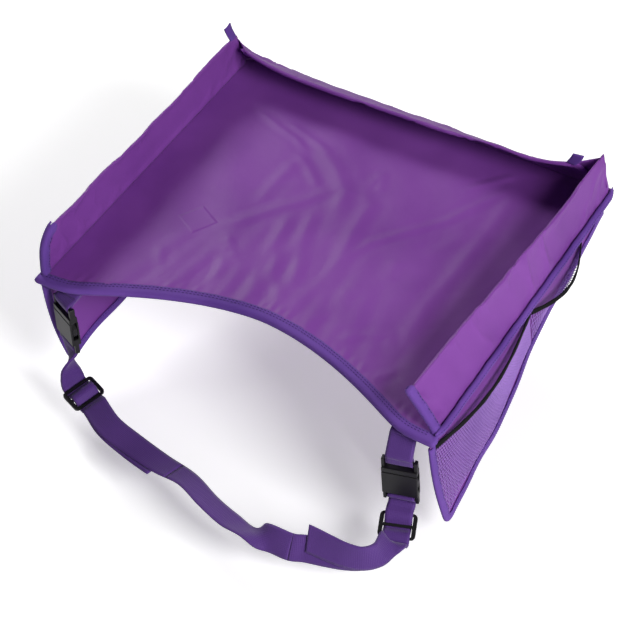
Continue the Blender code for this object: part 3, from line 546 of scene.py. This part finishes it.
def back_wall_end(side, height):
    return side * (HALF_WIDTH - 0.005 - (0.002 if side < 0 else 0.018) * height / WALL_HEIGHT)


def pad_ring():
    """Height and offset round a padded sleeve: swollen faces, a rounded rim and a pinched foot."""
    rise = np.linspace(0.0, 1.0, 17)
    half = WALL_THICKNESS / 2 * (0.80 + 0.20 * np.sin(rise * math.pi) ** 0.6)
    rim = np.linspace(0.0, math.pi, 9)[1:-1]
    heights = np.concatenate([rise * (WALL_HEIGHT - 0.002), WALL_HEIGHT - 0.002 + 0.002 * np.sin(rim)])
    heights = np.concatenate([heights, rise[::-1] * (WALL_HEIGHT - 0.002)])
    offsets = np.concatenate([half, half[-1] * np.cos(rim), -half[::-1]])
    heights[[0, -1]] -= 0.0006
    return heights, offsets


def padded_wall(name, point, start, end, ripple, phase):
    """A wall as a closed tube: the pad's ring carried between its ends, its faces drawn in low ripples."""
    heights, offsets = pad_ring()
    share = np.linspace(0.0, 1.0, WALL_RINGS)
    pinch = np.clip(np.minimum(share, 1 - share) / 0.008, 0.35, 1.0)
    along = start(heights)[None, :] + share[:, None] * (end(heights) - start(heights))[None, :]
    waves = np.sin(along * 2 * math.pi / 0.071 + phase) * np.sin(heights * math.pi / WALL_HEIGHT)[None, :]
    waves += 0.5 * np.sin(along * 2 * math.pi / 0.029 + heights[None, :] * 60 + 2 * phase)
    waves *= np.clip(heights / 0.012, 0, 1) * np.clip((WALL_HEIGHT - heights) / 0.014, 0, 1)
    offset = offsets[None, :] * pinch[:, None] + ripple * waves
    points = point(along, np.tile(heights, (len(share), 1)), offset)
    round_it = np.concatenate([[0.0], np.cumsum(np.hypot(np.diff(heights), np.diff(offsets)))])
    return grid_mesh(name, points, joined(along, round_it[None, :]), closed=True)


padded_walls = []
for side, hand in ((-1, "left"), (1, "right")):
    wall = padded_wall(
        hand + "_wall",
        lambda along, height, offset: side_wall_point(side, along, height, offset),
        lambda height: side_wall_front(side, height),
        lambda height: side_wall_rear(side, height),
        0.00035,
        0.7 + side,
    )
    if side < 0:
        wall.flip_normals()
    stood_for = hand + "_wall_cover", hand + "_wall_foam"
    wall = piece(hand + "_wall", wall, cover_cloth, "tray", "cover_cloth", *stood_for)
    padded_walls.append(wall)

back_wall = padded_wall(
    "back_wall",
    back_wall_point,
    lambda height: back_wall_end(-1, height),
    lambda height: back_wall_end(1, height),
    0.00045,
    0.4,
)
back_wall.flip_normals()
stood_for = "back_wall_cover", "back_wall_foam"
back_wall = piece("back_wall", back_wall, cover_cloth, "tray", "cover_cloth", *stood_for)
padded_walls.append(back_wall)


SWELL_FRAMES = 20


def swell(objs, pressure, spare, cap):
    """Fills the sleeves as wadding does: cloth under pressure, its seams pinned, moved by cap at most."""
    rests = []
    for obj in objs:
        rest = np.empty(len(obj.data.vertices) * 3)
        obj.data.vertices.foreach_get("co", rest)
        rests.append(rest.reshape(-1, 3))
        columns = np.arange(len(rests[-1])) % RING_POINTS
        rows = np.arange(len(rests[-1])) // RING_POINTS
        seam = (columns < 2) | (columns > RING_POINTS - 3) | (rows < 2) | (rows > WALL_RINGS - 3)
        obj.vertex_groups.new(name="seams").add(np.flatnonzero(seam).tolist(), 1.0, "REPLACE")
        cloth = obj.modifiers.new("swell", "CLOTH")
        cloth.settings.quality = 6
        cloth.settings.mass = 0.15
        cloth.settings.tension_stiffness = 18
        cloth.settings.compression_stiffness = 18
        cloth.settings.bending_stiffness = 0.08
        cloth.settings.use_pressure = True
        cloth.settings.uniform_pressure_force = pressure
        cloth.settings.vertex_group_mass = "seams"
        cloth.settings.shrink_min = spare
        cloth.settings.effector_weights.gravity = 0.0
        cloth.collision_settings.use_collision = False
        cloth.point_cache.frame_start = 1
        cloth.point_cache.frame_end = SWELL_FRAMES
    for frame_number in range(1, SWELL_FRAMES + 1):
        bpy.context.scene.frame_set(frame_number)
    for obj, rest in zip(objs, rests):
        puffed = obj.evaluated_get(bpy.context.evaluated_depsgraph_get()).to_mesh()
        after = np.empty(len(rest) * 3)
        puffed.vertices.foreach_get("co", after)
        move = after.reshape(-1, 3) - rest
        length = np.linalg.norm(move, axis=1, keepdims=True)
        rest += move * cap * np.tanh(length / cap) / np.maximum(length, 1e-9)
        obj.to_mesh_clear()
    bpy.context.scene.frame_set(1)
    for obj, rest in zip(objs, rests):
        obj.modifiers.remove(obj.modifiers["swell"])
        obj.data.vertices.foreach_set("co", rest.ravel())
        obj.data.update()


swell(padded_walls, pressure=4.0, spare=-0.03, cap=0.0018)


# ---------------------------------------------------------------------------------------------------------
# The far corners: a single layer of cover cloth closes each gap between two walls, and the end of the inner
# seam tape stands up from it as a small folded tab.

TAB_WIDTH = 0.010
TAB_LENGTH = 0.012
GUSSET_LAP = 0.004

for side, hand in ((-1, "left"), (1, "right")):
    height = np.linspace(0.0, WALL_HEIGHT - 0.001, 25)[:, None]
    share = np.linspace(0.0, 1.0, 25)[None, :]
    outside = np.full_like(height, 0.0012)
    first = side_wall_point(side, side_wall_rear(side, height) - GUSSET_LAP, height, outside)
    last = back_wall_point(back_wall_end(side, height) - side * GUSSET_LAP, height, outside)
    fullness = (0.005, 0.010)[side < 0] * (1 + height / WALL_HEIGHT) / 2
    corner_y = np.maximum(first[..., 1], last[..., 1]) + fullness
    corner = joined(first[..., 0], corner_y, (first[..., 2] + last[..., 2]) / 2)
    s = share[..., None]
    points = first * (1 - s) ** 2 + 2 * corner * s * (1 - s) + last * s**2
    points[..., 1] += 0.0012 * np.sin(share * math.pi * 3) * np.sin(height / WALL_HEIGHT * math.pi)
    surface = points, joined(share * 0.03, height)
    gusset = cloth_piece(
        hand + "_gusset", surface, 0.0008, cover_cloth, "tray", "cover_cloth", hand + "_corner_gusset"
    )
    width = float(np.linalg.norm(np.diff(points[12], axis=0), axis=1).sum())

    if side < 0:
        rear = side_wall_rear(side, WALL_HEIGHT) - TAB_WIDTH / 2 - 0.001
        foot = side_wall_point(side, rear, WALL_HEIGHT, 0.0)
        width = np.array([0.0, 1.0, 0.0])
    else:
        foot = back_wall_point(back_wall_end(side, WALL_HEIGHT) - TAB_WIDTH / 2 - 0.001, WALL_HEIGHT, 0.0)
        width = np.array([1.0, 0.0, 0.0])
    rise = np.linspace(-0.1, 1.0, 14)[:, None]
    across = np.linspace(-1.0, 1.0, 7)[None, :]
    curl = 0.0012 * np.sin(rise * 2.4) * (1 + 0.5 * across) + 0.0007 * across**2
    points = joined(side * (0.005 * rise + curl), 0.001 * rise * across, TAB_LENGTH * rise)
    points = points + foot + np.array([0.0, 0.0, 0.0008]) + (across * TAB_WIDTH / 2)[..., None] * width
    surface = points, joined(rise * TAB_LENGTH, across * TAB_WIDTH / 2)
    cloth_piece(hand + "_tab", surface, 0.0018, tape_cloth, "tray", "webbing", hand + "_corner_tab")


# ---------------------------------------------------------------------------------------------------------
# The side walls' front ends are closed with the same tape, folded over the padding and sewn through, and a
# broad tape covers the seam where wall, floor and flap meet along each side.

for side, hand in ((-1, "left"), (1, "right")):
    height = np.linspace(0.0008, WALL_HEIGHT + 0.0030, 60)
    front = side_wall_front(side, height)
    path = side_wall_point(side, front, height, np.zeros_like(height))
    face = side_wall_point(side, front, height, np.full_like(height, 0.001)) - path
    ahead = unit(np.gradient(path, axis=0))
    outward = unit(np.cross(ahead, face)) * -side
    outward *= -np.sign(outward[:1, 1:2])
    face = unit(face)
    surface = folded_tape(path, outward, face, WALL_THICKNESS / 2, 0.0057, 0.0006, (0.0, TAPE_END))
    finish = TAPE_THICKNESS, tape_cloth, "tray", "binding_tape"
    cloth_piece(hand + "_end_tape", surface, *finish, hand + "_wall_end_binding")
    for sign in (-1, 1):
        row = path[:-6] - outward[:-6] * 0.0042 + sign * face[:-6] * (WALL_THICKNESS / 2 + 0.0013)
        stitches(f"{hand}_end_stitching_{sign + 1}", "tray", row, sign * face[:-6])

    along = np.linspace(-HALF_DEPTH - 0.004, HALF_DEPTH + 0.003, 180)
    profile_out = np.array([0.0002, 0.0026, 0.0043, 0.0048, 0.0038, 0.0020, 0.0007, 0.0001])
    profile_up = np.array([0.0102, 0.0099, 0.0082, 0.0058, 0.0034, 0.0018, 0.0003, -0.0009])
    taper = np.clip(np.minimum(along - along[0], along[-1] - along) / 0.012, 0.0, 1.0) ** 0.5
    flutter = 0.0004 * np.sin(along * 2 * math.pi / 0.045 + side)
    flutter += 0.0002 * np.sin(along * 2 * math.pi / 0.018)
    points = joined(
        side * (HALF_WIDTH + MARGIN + 0.0003 + profile_out[None, :] * taper[:, None]),
        along[:, None],
        profile_up[None, :] + flutter[:, None] * np.clip(profile_up / 0.01, 0, 1)[None, :],
    )
    across = np.concatenate([[0.0], np.cumsum(np.hypot(np.diff(profile_out), np.diff(profile_up)))])
    surface = points, joined(along[:, None], across[None, :])
    cloth_piece(
        hand + "_seam_tape", surface, 0.0008, tape_cloth, "tray", "binding_tape", hand + "_side_piping"
    )
    for k in (2, 5):
        row = points[:, k] + np.array([side * 0.0005, 0.0, 0.0])
        stitches(f"{hand}_seam_stitching_{k}", "tray", row, np.tile([float(side), 0.0, 0.0], (len(row), 1)))


# ---------------------------------------------------------------------------------------------------------
# The side flaps: one layer of cover cloth sewn into the side seams, hanging free, with a folded tape round
# the front edge and the hem. The left flap has swung in under the tray.

FLAP_DEPTH = 0.0985
FLAP_SLANT = 0.009
FLAP_REAR = HALF_DEPTH - 0.012
FLAP_SEAM = HALF_WIDTH + MARGIN - 0.0015
FLAP_DROP = 0.0008
FLAP_LEADS = {-1: 0.0062, 1: 0.0098}
FLAP_PLACES = (0.0, 0.14, 0.32, 0.50, 0.62, 0.78, 1.0)
FLAP_REACHES = (1.0, 0.94, 0.87, 0.56, 0.43, 0.29, 0.11)
LEFT_SWINGS = (-8.0, -12.0, -19.0, -28.0, -29.0, -24.0, -14.0)
RIGHT_SWINGS = (8.0, 8.0, 8.0, 7.0, 6.0, 5.0, 4.0)
FLAP_LENGTH = 0.348
TIP_RADIUS = 0.013


def flap_reach(share):
    """Depth of the hem: the eased line of reaches, a little slack at the front, and a round tip."""
    hem = FLAP_DEPTH * eased(share, FLAP_PLACES, FLAP_REACHES) + 0.012 * np.exp(-np.asarray(share) / 0.09)
    short = np.clip(TIP_RADIUS - np.asarray(share) * FLAP_LENGTH, 0.0, TIP_RADIUS)
    return hem - TIP_RADIUS + np.sqrt(TIP_RADIUS**2 - short**2)


def flap_point(side, share, down, offset):
    """A flap's point: share runs from front to rear, down from the seam, offset away from the tray."""
    share, down, offset = np.broadcast_arrays(share, down, offset)
    angle = np.radians(eased(share, FLAP_PLACES, LEFT_SWINGS if side < 0 else RIGHT_SWINGS))
    fall = down / FLAP_DEPTH
    lead = FLAP_LEADS[int(side)]
    front = -HALF_DEPTH - lead - 0.004 * np.sin(math.pi * np.clip(fall, 0.0, 1.0)) + FLAP_SLANT * fall
    out = down * np.sin(angle) + offset * np.cos(angle)
    up = offset * np.sin(angle) - down * np.cos(angle) - FLAP_DROP
    return np.stack([side * (FLAP_SEAM + out), front + share * (FLAP_REAR - front), up], axis=-1)


def flap_sway(share, fall):
    """The cloth's own slack waves, growing towards the hem."""
    return fall * (0.0009 * np.sin(share * 17 + 0.5) + 0.0003 * np.sin(share * 39 + fall * 3))


def flap_normal(side, share, down):
    """The flap's outward face direction, from its slopes along and down it."""
    step = 0.002
    slope = flap_point(side, np.minimum(share + step, 1), down, 0.0)
    slope = slope - flap_point(side, np.maximum(share - step, 0), down, 0.0)
    fall = flap_point(side, share, down + step, 0.0) - flap_point(side, share, down, 0.0)
    return unit(np.cross(slope, fall)) * -side


for side, hand in ((-1, "left"), (1, "right")):
    share = np.concatenate([np.linspace(0.0, 0.026, 12)[:-1], np.linspace(0.026, 1.0, 140)])[:, None]
    fall = np.linspace(0.0, 1.0, 50)[None, :]
    down = flap_reach(share) * fall
    points = flap_point(side, share, down, flap_sway(share, fall))
    surface = points, joined(share * FLAP_LENGTH, down)
    finish = COVER_THICKNESS, cover_cloth, hand + "_flap", "cover_cloth"
    flap = cloth_piece(hand + "_flap_cloth", surface, *finish, hand + "_flap_panel")

    hem = share[1:, 0]
    places = np.concatenate([np.zeros(30), hem])
    drops = np.concatenate([np.linspace(0.004, float(flap_reach(0.0)), 30), flap_reach(hem)])
    sway = flap_sway(places, drops / np.maximum(flap_reach(places), 1e-6))
    path = flap_point(side, places, drops, sway)
    over = flap_normal(side, places, drops)
    ahead = unit(np.gradient(path, axis=0))
    for _ in range(3):
        ahead[1:-1] = unit(ahead[:-2] + 2 * ahead[1:-1] + ahead[2:])
    over = unit(over - ahead * np.sum(ahead * over, axis=1, keepdims=True))
    outward = np.cross(ahead, over) * side
    surface = folded_tape(path, outward, over, 0.0008, width=0.0066)
    finish = TAPE_THICKNESS, tape_cloth, hand + "_flap", "binding_tape"
    cloth_piece(hand + "_flap_tape", surface, *finish, hand + "_flap_binding")
    for sign in (-1, 1):
        row = path - outward * 0.0052 + sign * over * 0.0018
        stitches(f"{hand}_flap_stitching_{sign + 1}", hand + "_flap", row, sign * over)


# ---------------------------------------------------------------------------------------------------------
# The net pockets on the outside of the flaps: knitted polyester net, caught in the flap's tape at front and
# foot, gathered at the mouth on a black elastic that gapes in its middle.

NET_PITCH = 0.0031
NET_THREAD = 0.0009
TAPE_EDGE = 0.0115
MOUTH_END = 0.0080
ELASTIC_WIDTH = 0.005
POCKETS = (
    ("front", (0.018, 0.540), 0.0090, 0.0080),
    ("rear", (0.550, 0.850), 0.0060, 0.0135),
)
net_cloth = cloth_material(
    "pocket_net", srgb(160, 122, 198), srgb(144, 106, 184), 0.7, 0.2, 0.0006, 0.0001, 0.0004
)
elastic_cloth = cloth_material("elastic", srgb(13, 11, 15), srgb(8, 7, 10), 0.85, 0.0, 0.0011, 0.0003, 0.0004)


def pocket_point(side, step, fall, shares, sag, bulge):
    """The pocket's face: it stands off by the bulge times a sine along and a falling power down it."""
    share = shares[0] + step * (shares[1] - shares[0])
    mouth = MOUTH_END + sag * np.sin(math.pi * step)
    foot = flap_reach(share) - TAPE_EDGE + 0.002
    lift = 0.0013 + bulge * np.sin(math.pi * np.clip(step, 0, 1)) * np.clip(1 - fall, 0, 1) ** 1.5
    return flap_point(side, share, mouth + fall * (foot - mouth), lift)


def net_cut(shares, sag):
    """Length of a pocket's net, and its mean depth between the mouth and the flap's tape."""
    depth = float(np.mean(flap_reach(np.linspace(*shares, 20)))) - TAPE_EDGE - MOUTH_END - sag * 0.6
    return (shares[1] - shares[0]) * FLAP_LENGTH, depth


def net_mesh(name, side, shares, sag, bulge):
    """Hexagon cells laid over the pocket's cut and bent onto its face."""
    length, depth = net_cut(shares, sag)
    columns = int(length / NET_PITCH)
    rows = int(depth / (NET_PITCH * 0.8))
    i, j = np.meshgrid(np.arange(columns), np.arange(rows), indexing="ij")
    corners = np.array([(0.0, -0.62), (0.5, -0.28), (0.5, 0.28), (0.0, 0.62), (-0.5, 0.28), (-0.5, -0.28)])
    cx = i + 0.5 + 0.5 * (j % 2)
    cy = (j + 0.7) * 0.9
    px = (cx[..., None] + corners[:, 0]) / (columns + 0.5)
    py = (cy[..., None] + corners[:, 1]) / (rows * 0.9 + 0.5)
    flat = np.stack([px, py], axis=-1).reshape(-1, 2)
    keys, back = np.unique(np.round(flat, 5), axis=0, return_inverse=True)
    points = pocket_point(side, np.clip(keys[:, 0], 0, 1), np.clip(keys[:, 1], 0, 1), shares, sag, bulge)
    mesh = bpy.data.meshes.new(name)
    mesh.from_pydata(points.tolist(), [], back.reshape(-1, 6).tolist())
    return mesh


for side, hand in ((-1, "left"), (1, "right")):
    for place, shares, sag, bulge in POCKETS:
        net = piece(
            f"{hand}_{place}_net",
            net_mesh(f"{hand}_{place}_net", side, shares, sag, bulge),
            net_cloth,
            hand + "_flap",
            "pocket_net",
            f"{hand}_{place}_pocket",
        )
        strands = net.modifiers.new("strands", "WIREFRAME")
        strands.thickness = NET_THREAD
        strands.use_boundary = True
        strands.use_even_offset = False
        length, depth = net_cut(shares, sag)

        step = np.linspace(0.0, 1.0, 120)[:, None]
        across = np.linspace(-1.0, 1.0, 7)[None, :]
        share = shares[0] + step * (shares[1] - shares[0])
        mouth = MOUTH_END + sag * np.sin(math.pi * step) - ELASTIC_WIDTH / 2 + 0.001
        roll = 0.0006 * (1 - across**2) + 0.0002 * np.sin(step * 34) * across
        lift = 0.0015 + bulge * np.sin(math.pi * step) + roll
        points = flap_point(side, share, mouth + across * ELASTIC_WIDTH / 2, lift)
        surface = points, joined(step * length, across * ELASTIC_WIDTH / 2)
        name = f"{hand}_{place}_elastic"
        cloth_piece(name + "_band", surface, 0.0009, elastic_cloth, hand + "_flap", "black_elastic", name)


# ---------------------------------------------------------------------------------------------------------
# The release buckles and sliders: moulded black acetal with a fine spark-eroded grain. Their solids have the
# real shape already and get the finish only.

acetal, tree, sockets = new_material("black_acetal", {"Base Color": srgb(20, 19, 22), "Roughness": 0.38})
place = add_node(tree, "TexCoord").outputs
grain = add_node(tree, "TexNoise", {"Scale": 2200.0}, {"Vector": place["Object"]})
relief = add_node(tree, "Bump", {"Distance": 0.00005, "Strength": 0.5}, {"Height": grain.outputs["Fac"]})
tree.links.new(relief.outputs["Normal"], sockets["Normal"])
for name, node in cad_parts.items():
    if "buckle" in name or "slider" in name:
        node.data.materials[0] = acetal


# ---------------------------------------------------------------------------------------------------------
# The webbing: 25 mm woven polypropylene in a herringbone. A short doubled length is sewn under each front
# corner and holds a plug; one long length runs between the sockets and doubles back through the sliders.

WEBBING_WIDTH = 0.025
WEBBING_THICKNESS = 0.0012
web_cloth = cloth_material("webbing", srgb(93, 57, 137), srgb(80, 45, 123), 0.6, 0.2, 0.0016, 0.0004, 0.0003)


def spline(points, samples):
    """Catmull-Rom curve through rows of values, sampled evenly in its parameter."""
    points = np.asarray(points, dtype=float)
    ends = np.vstack([2 * points[0] - points[1], points, 2 * points[-1] - points[-2]])
    t = np.linspace(0.0, 1.0, samples, endpoint=False)[None, :, None]
    p0, p1, p2, p3 = (ends[k : k + len(points) - 1, None] for k in range(4))
    curve = 2 * p1 + (p2 - p0) * t + (2 * p0 - 5 * p1 + 4 * p2 - p3) * t**2
    curve = (curve + (3 * p1 - p0 - 3 * p2 + p3) * t**3) / 2
    return np.vstack([curve.reshape(-1, points.shape[1]), points[-1]])


def half_turn(centre, side, first, radius, steps=12):
    """Half a turn about a bar, from the first direction over the far side."""
    far = np.cross(side, first)
    angle = np.linspace(0.0, math.pi, steps + 1)[:, None]
    return centre + radius * (np.cos(angle) * first + np.sin(angle) * far)


def buckle_frame(place, turn):
    """Centre and the across, back and up directions of a buckle turned about x, then y, then z."""
    a, b, c = (math.radians(v) for v in turn)
    about_x = np.array([[1, 0, 0], [0, math.cos(a), -math.sin(a)], [0, math.sin(a), math.cos(a)]])
    about_y = np.array([[math.cos(b), 0, math.sin(b)], [0, 1, 0], [-math.sin(b), 0, math.cos(b)]])
    about_z = np.array([[math.cos(c), -math.sin(c), 0], [math.sin(c), math.cos(c), 0], [0, 0, 1]])
    turned = about_z @ about_y @ about_x
    return np.array(place), turned[:, 0], turned[:, 1], turned[:, 2]


BUCKLES = {
    "right": buckle_frame((0.1790, -0.1970, -0.0290), (0.0, -3.5, 12.0)),
    "left": buckle_frame((-0.1765, -0.1925, -0.0128), (0.0, -5.5, -28.0)),
}
BAR_REACH = 0.0012 + 0.0003 + WEBBING_THICKNESS / 2


def webbing_strip(path, widths):
    """Points and cut of a strip of webbing: rows across its width, crowned a little in their middle."""
    across = np.linspace(-1.0, 1.0, 9)
    ahead = unit(np.gradient(path, axis=0))
    face = np.cross(widths, ahead)
    points = path[:, None] + widths[:, None] * (across * WEBBING_WIDTH / 2)[None, :, None]
    points = points + face[:, None] * (0.00015 * np.cos(across * math.pi / 2))[None, :, None]
    return points, joined(run_length(path)[:, None], across[None, :] * WEBBING_WIDTH / 2)


for side, hand in ((-1, "left"), (1, "right")):
    centre, across, back, up = BUCKLES[hand]
    x = side * 0.176
    edge = float(front_edge(np.array(x)))
    level = -0.0022 - WEBBING_THICKNESS / 2
    lay = WEBBING_THICKNESS + 0.0003
    runs = []
    for depth, offset in ((lay, BAR_REACH), (0.0, -BAR_REACH)):
        ease = 0.003 - depth
        angle = np.linspace(0.0, math.pi / 2, 4)
        rows = [(x, edge + 0.028, level - depth), (x, edge + 0.014, level - depth)]
        rows += [(x, edge + 0.003 - ease * math.sin(a), level - 0.003 + ease * math.cos(a)) for a in angle]
        if rows[-1][2] - centre[2] > 0.0144:
            rows.append(tuple(centre + up * 0.0096 + back * offset))
        rows += [tuple(centre + up * 0.0048 + back * offset), tuple(centre + back * offset)]
        runs.append(spline(rows, 8))
    wrap = half_turn(centre, -across, back, BAR_REACH)[1:-1]
    ramp = np.clip(np.linspace(-0.6, 1.15, len(runs[0])), 0.0, 1.0)[:, None]
    down = unit(np.array([1.0, 0.0, 0.0]) * (1 - ramp) + across * ramp)
    path = np.vstack([runs[0], wrap, runs[1][::-1]])
    widths = np.vstack([down, np.tile(across, (len(wrap), 1)), down[::-1]])
    finish = WEBBING_THICKNESS, web_cloth, "tray", "webbing"
    cloth_piece(hand + "_anchor", webbing_strip(path, widths), *finish, hand + "_anchor_webbing")

SLIDER_PLACES = {"right": (0.1872, -0.2129, -0.0936), "left": (-0.1470, -0.2150, -0.0968)}
SLIDER_ALONG = {"right": (0.30, -0.84, -0.45), "left": (-0.93, 0.34, 0.12)}
SLIDER_SIDES = {"right": (-0.939, -0.343, 0.0), "left": (0.30, 0.94, 0.15)}
SLIDER_ROWS = {"right": 2, "left": 20}
SLIDER_RUN = 0.0145
SLIDER_RELEASE = 0.0195
SLIDER_LENGTH = 0.024
STRAP_LEVEL = -0.101
STRAP_STEPS = 10

# Where the strap lies on the ground: place, and the direction of its width
LAID_STRAP = (
    (0.1908, -0.2358, (-0.70, -0.20, 0.69)),
    (0.1900, -0.2528, (-0.40, 0.00, 0.91)),
    (0.1815, -0.2645, (-0.12, 0.25, 0.96)),
    (0.1671, -0.2711, (0.00, 0.40, 0.91)),
    (0.1502, -0.2750, (0.00, 0.52, 0.85)),
    (0.1310, -0.2787, (0.00, 0.62, 0.78)),
    (0.1176, -0.2836, (0.00, 0.64, 0.77)),
    (0.0962, -0.2837, (0.00, 0.68, 0.73)),
    (0.0760, -0.2846, (0.00, 0.90, -0.43)),
    (0.0525, -0.2801, (0.00, 0.95, -0.31)),
    (0.0253, -0.2717, (0.00, 0.94, -0.34)),
    (-0.0052, -0.2586, (0.00, 0.95, -0.31)),
    (-0.0381, -0.2526, (0.00, 0.99, -0.10)),
    (-0.0764, -0.2441, (0.10, 0.99, 0.05)),
    (-0.1060, -0.2359, (0.25, 0.95, 0.10)),
)
LEFT_RISE = (
    (-0.1670, -0.2055, -0.0850, -0.10, 0.95, 0.20),
    (-0.1710, -0.1990, -0.0740, -0.55, 0.82, 0.10),
)
# How far along a slider, in its lengths, the strap is lifted over its frame or pressed under its bar
LIFT_PLACES = (-0.7, -0.55, -0.375, -0.3, -0.127, -0.052, 0.052, 0.127, 0.3, 0.375, 0.55, 0.7)
LIFT_SHARES = (0.0, 1.0, 1.0, 0.78, -0.78, -1.0, -1.0, -0.78, 0.78, 1.0, 1.0, 0.0)


def strap_rows():
    """The strap's places from the right socket's bar to the left one's, with its width's direction at each."""
    bars = {}
    for hand in ("right", "left"):
        centre, across, back, up = BUCKLES[hand]
        bars[hand] = (centre - up * 0.045, -across, -up)
    place, side, pull = bars["right"]
    lean = unit(np.cross(pull, side) * 0.55 + pull)
    rows = [(*place, *side), (*(place + lean * 0.007), *side)]
    for hand, steps in (("right", (0.0, SLIDER_RUN)), ("left", (-SLIDER_RUN, 0.0, SLIDER_RUN))):
        if hand == "left":
            for x, y, width in LAID_STRAP:
                flat = math.hypot(width[0], width[1]) * 0.00135
                rows.append((x, y, abs(width[2]) * WEBBING_WIDTH / 2 + flat + STRAP_LEVEL, *width))
        along = unit(np.array(SLIDER_ALONG[hand]))
        rows += [(*(np.array(SLIDER_PLACES[hand]) + along * step), *SLIDER_SIDES[hand]) for step in steps]
    place, side, pull = bars["left"]
    rows += list(LEFT_RISE)
    rows += [(*(place + pull * 0.007), *side), (*place, *side)]
    return rows


def held_straight(line):
    """The strap's line, kept straight and untwisted where it runs through a slider."""
    run = run_length(line[:, :3])
    held = line.copy()
    for hand in ("right", "left"):
        k = SLIDER_ROWS[hand] * STRAP_STEPS
        reach = run - run[k]
        share = np.clip((SLIDER_RELEASE - np.abs(reach)) / (SLIDER_RELEASE - SLIDER_RUN), 0.0, 1.0)[:, None]
        share = share * share * (3 - 2 * share)
        straight = line[k, :3] + unit(np.array(SLIDER_ALONG[hand])) * reach[:, None]
        held[:, :3] += share * (straight - held[:, :3])
        held[:, 3:] += share * (np.array(SLIDER_SIDES[hand]) - held[:, 3:])
    return held


def across_and_face(centres, sides):
    along = unit(np.gradient(centres, axis=0))
    sides = unit(sides - along * np.sum(along * sides, axis=1, keepdims=True))
    return sides, np.cross(sides, along), along


line = held_straight(spline(strap_rows(), STRAP_STEPS))
straight = line[:, :3]
sides, faces, along = across_and_face(straight, line[:, 3:])
centres = straight.copy()
lift = 0.0012 + 0.0003 + WEBBING_THICKNESS + 0.00015
for hand, sign in (("right", 1.0), ("left", -1.0)):
    k = SLIDER_ROWS[hand] * STRAP_STEPS
    reach = (straight - straight[k]) @ along[k] / SLIDER_LENGTH
    rise = np.interp(reach, LIFT_PLACES, LIFT_SHARES)
    near = np.linalg.norm(straight - straight[k], axis=1) < SLIDER_LENGTH
    centres[near] += faces[near] * (rise[near] * lift * sign)[:, None]
sides, faces, along = across_and_face(centres, line[:, 3:])
run = run_length(centres)
from_bar = np.minimum(run, run[-1] - run)
spread = np.clip((0.009 - from_bar) / (0.009 - 0.0018), 0.0, 1.0) ** 2
offset = 0.00075 + (0.0021 - 0.00075) * spread
place = np.arange(len(centres)) / STRAP_STEPS
right_drift = 0.0105 * np.clip((place - 5.5) / 3.6, 0.0, 1.0) ** 1.4
left_drift = -0.0045 * np.clip((18.5 - place) / 2.5, 0.0, 1.0)
upper = centres + faces * offset[:, None] + sides * right_drift[:, None]
lower = centres - faces * offset[:, None] + sides * left_drift[:, None]
main = centres + faces * (offset * np.interp(place, (10.0, 14.0), (-1.0, 1.0)))[:, None]
right_wrap = half_turn(centres[0], sides[0], faces[0], 0.0021)[1:-1]
left_wrap = half_turn(centres[-1], -sides[-1], faces[-1], 0.0021)[1:-1]
RIGHT_CUT, LEFT_CUT, RIGHT_JOIN, LEFT_JOIN = 91, 160, 100, 155
right_path = np.vstack([upper[:RIGHT_CUT][::-1], right_wrap, main[: RIGHT_JOIN + 1]])
right_width = np.vstack([sides[:RIGHT_CUT][::-1], np.tile(sides[0], (11, 1)), sides[: RIGHT_JOIN + 1]])
left_path = np.vstack([main[LEFT_JOIN:], left_wrap, lower[LEFT_CUT:][::-1]])
left_width = np.vstack([sides[LEFT_JOIN:], np.tile(sides[-1], (11, 1)), sides[LEFT_CUT:][::-1]])
for name, path, widths in (
    ("right_strap", right_path, right_width),
    ("middle_strap", main[RIGHT_JOIN : LEFT_JOIN + 1], sides[RIGHT_JOIN : LEFT_JOIN + 1]),
    ("left_strap", left_path, left_width),
):
    body = "tray" if name == "middle_strap" else None
    finish = WEBBING_THICKNESS, web_cloth, body, "webbing"
    strap = cloth_piece(name, webbing_strip(path, widths), *finish, "adjuster_strap")
    if name == "right_strap":
        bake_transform(strap)
    if name == "left_strap":
        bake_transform(strap)
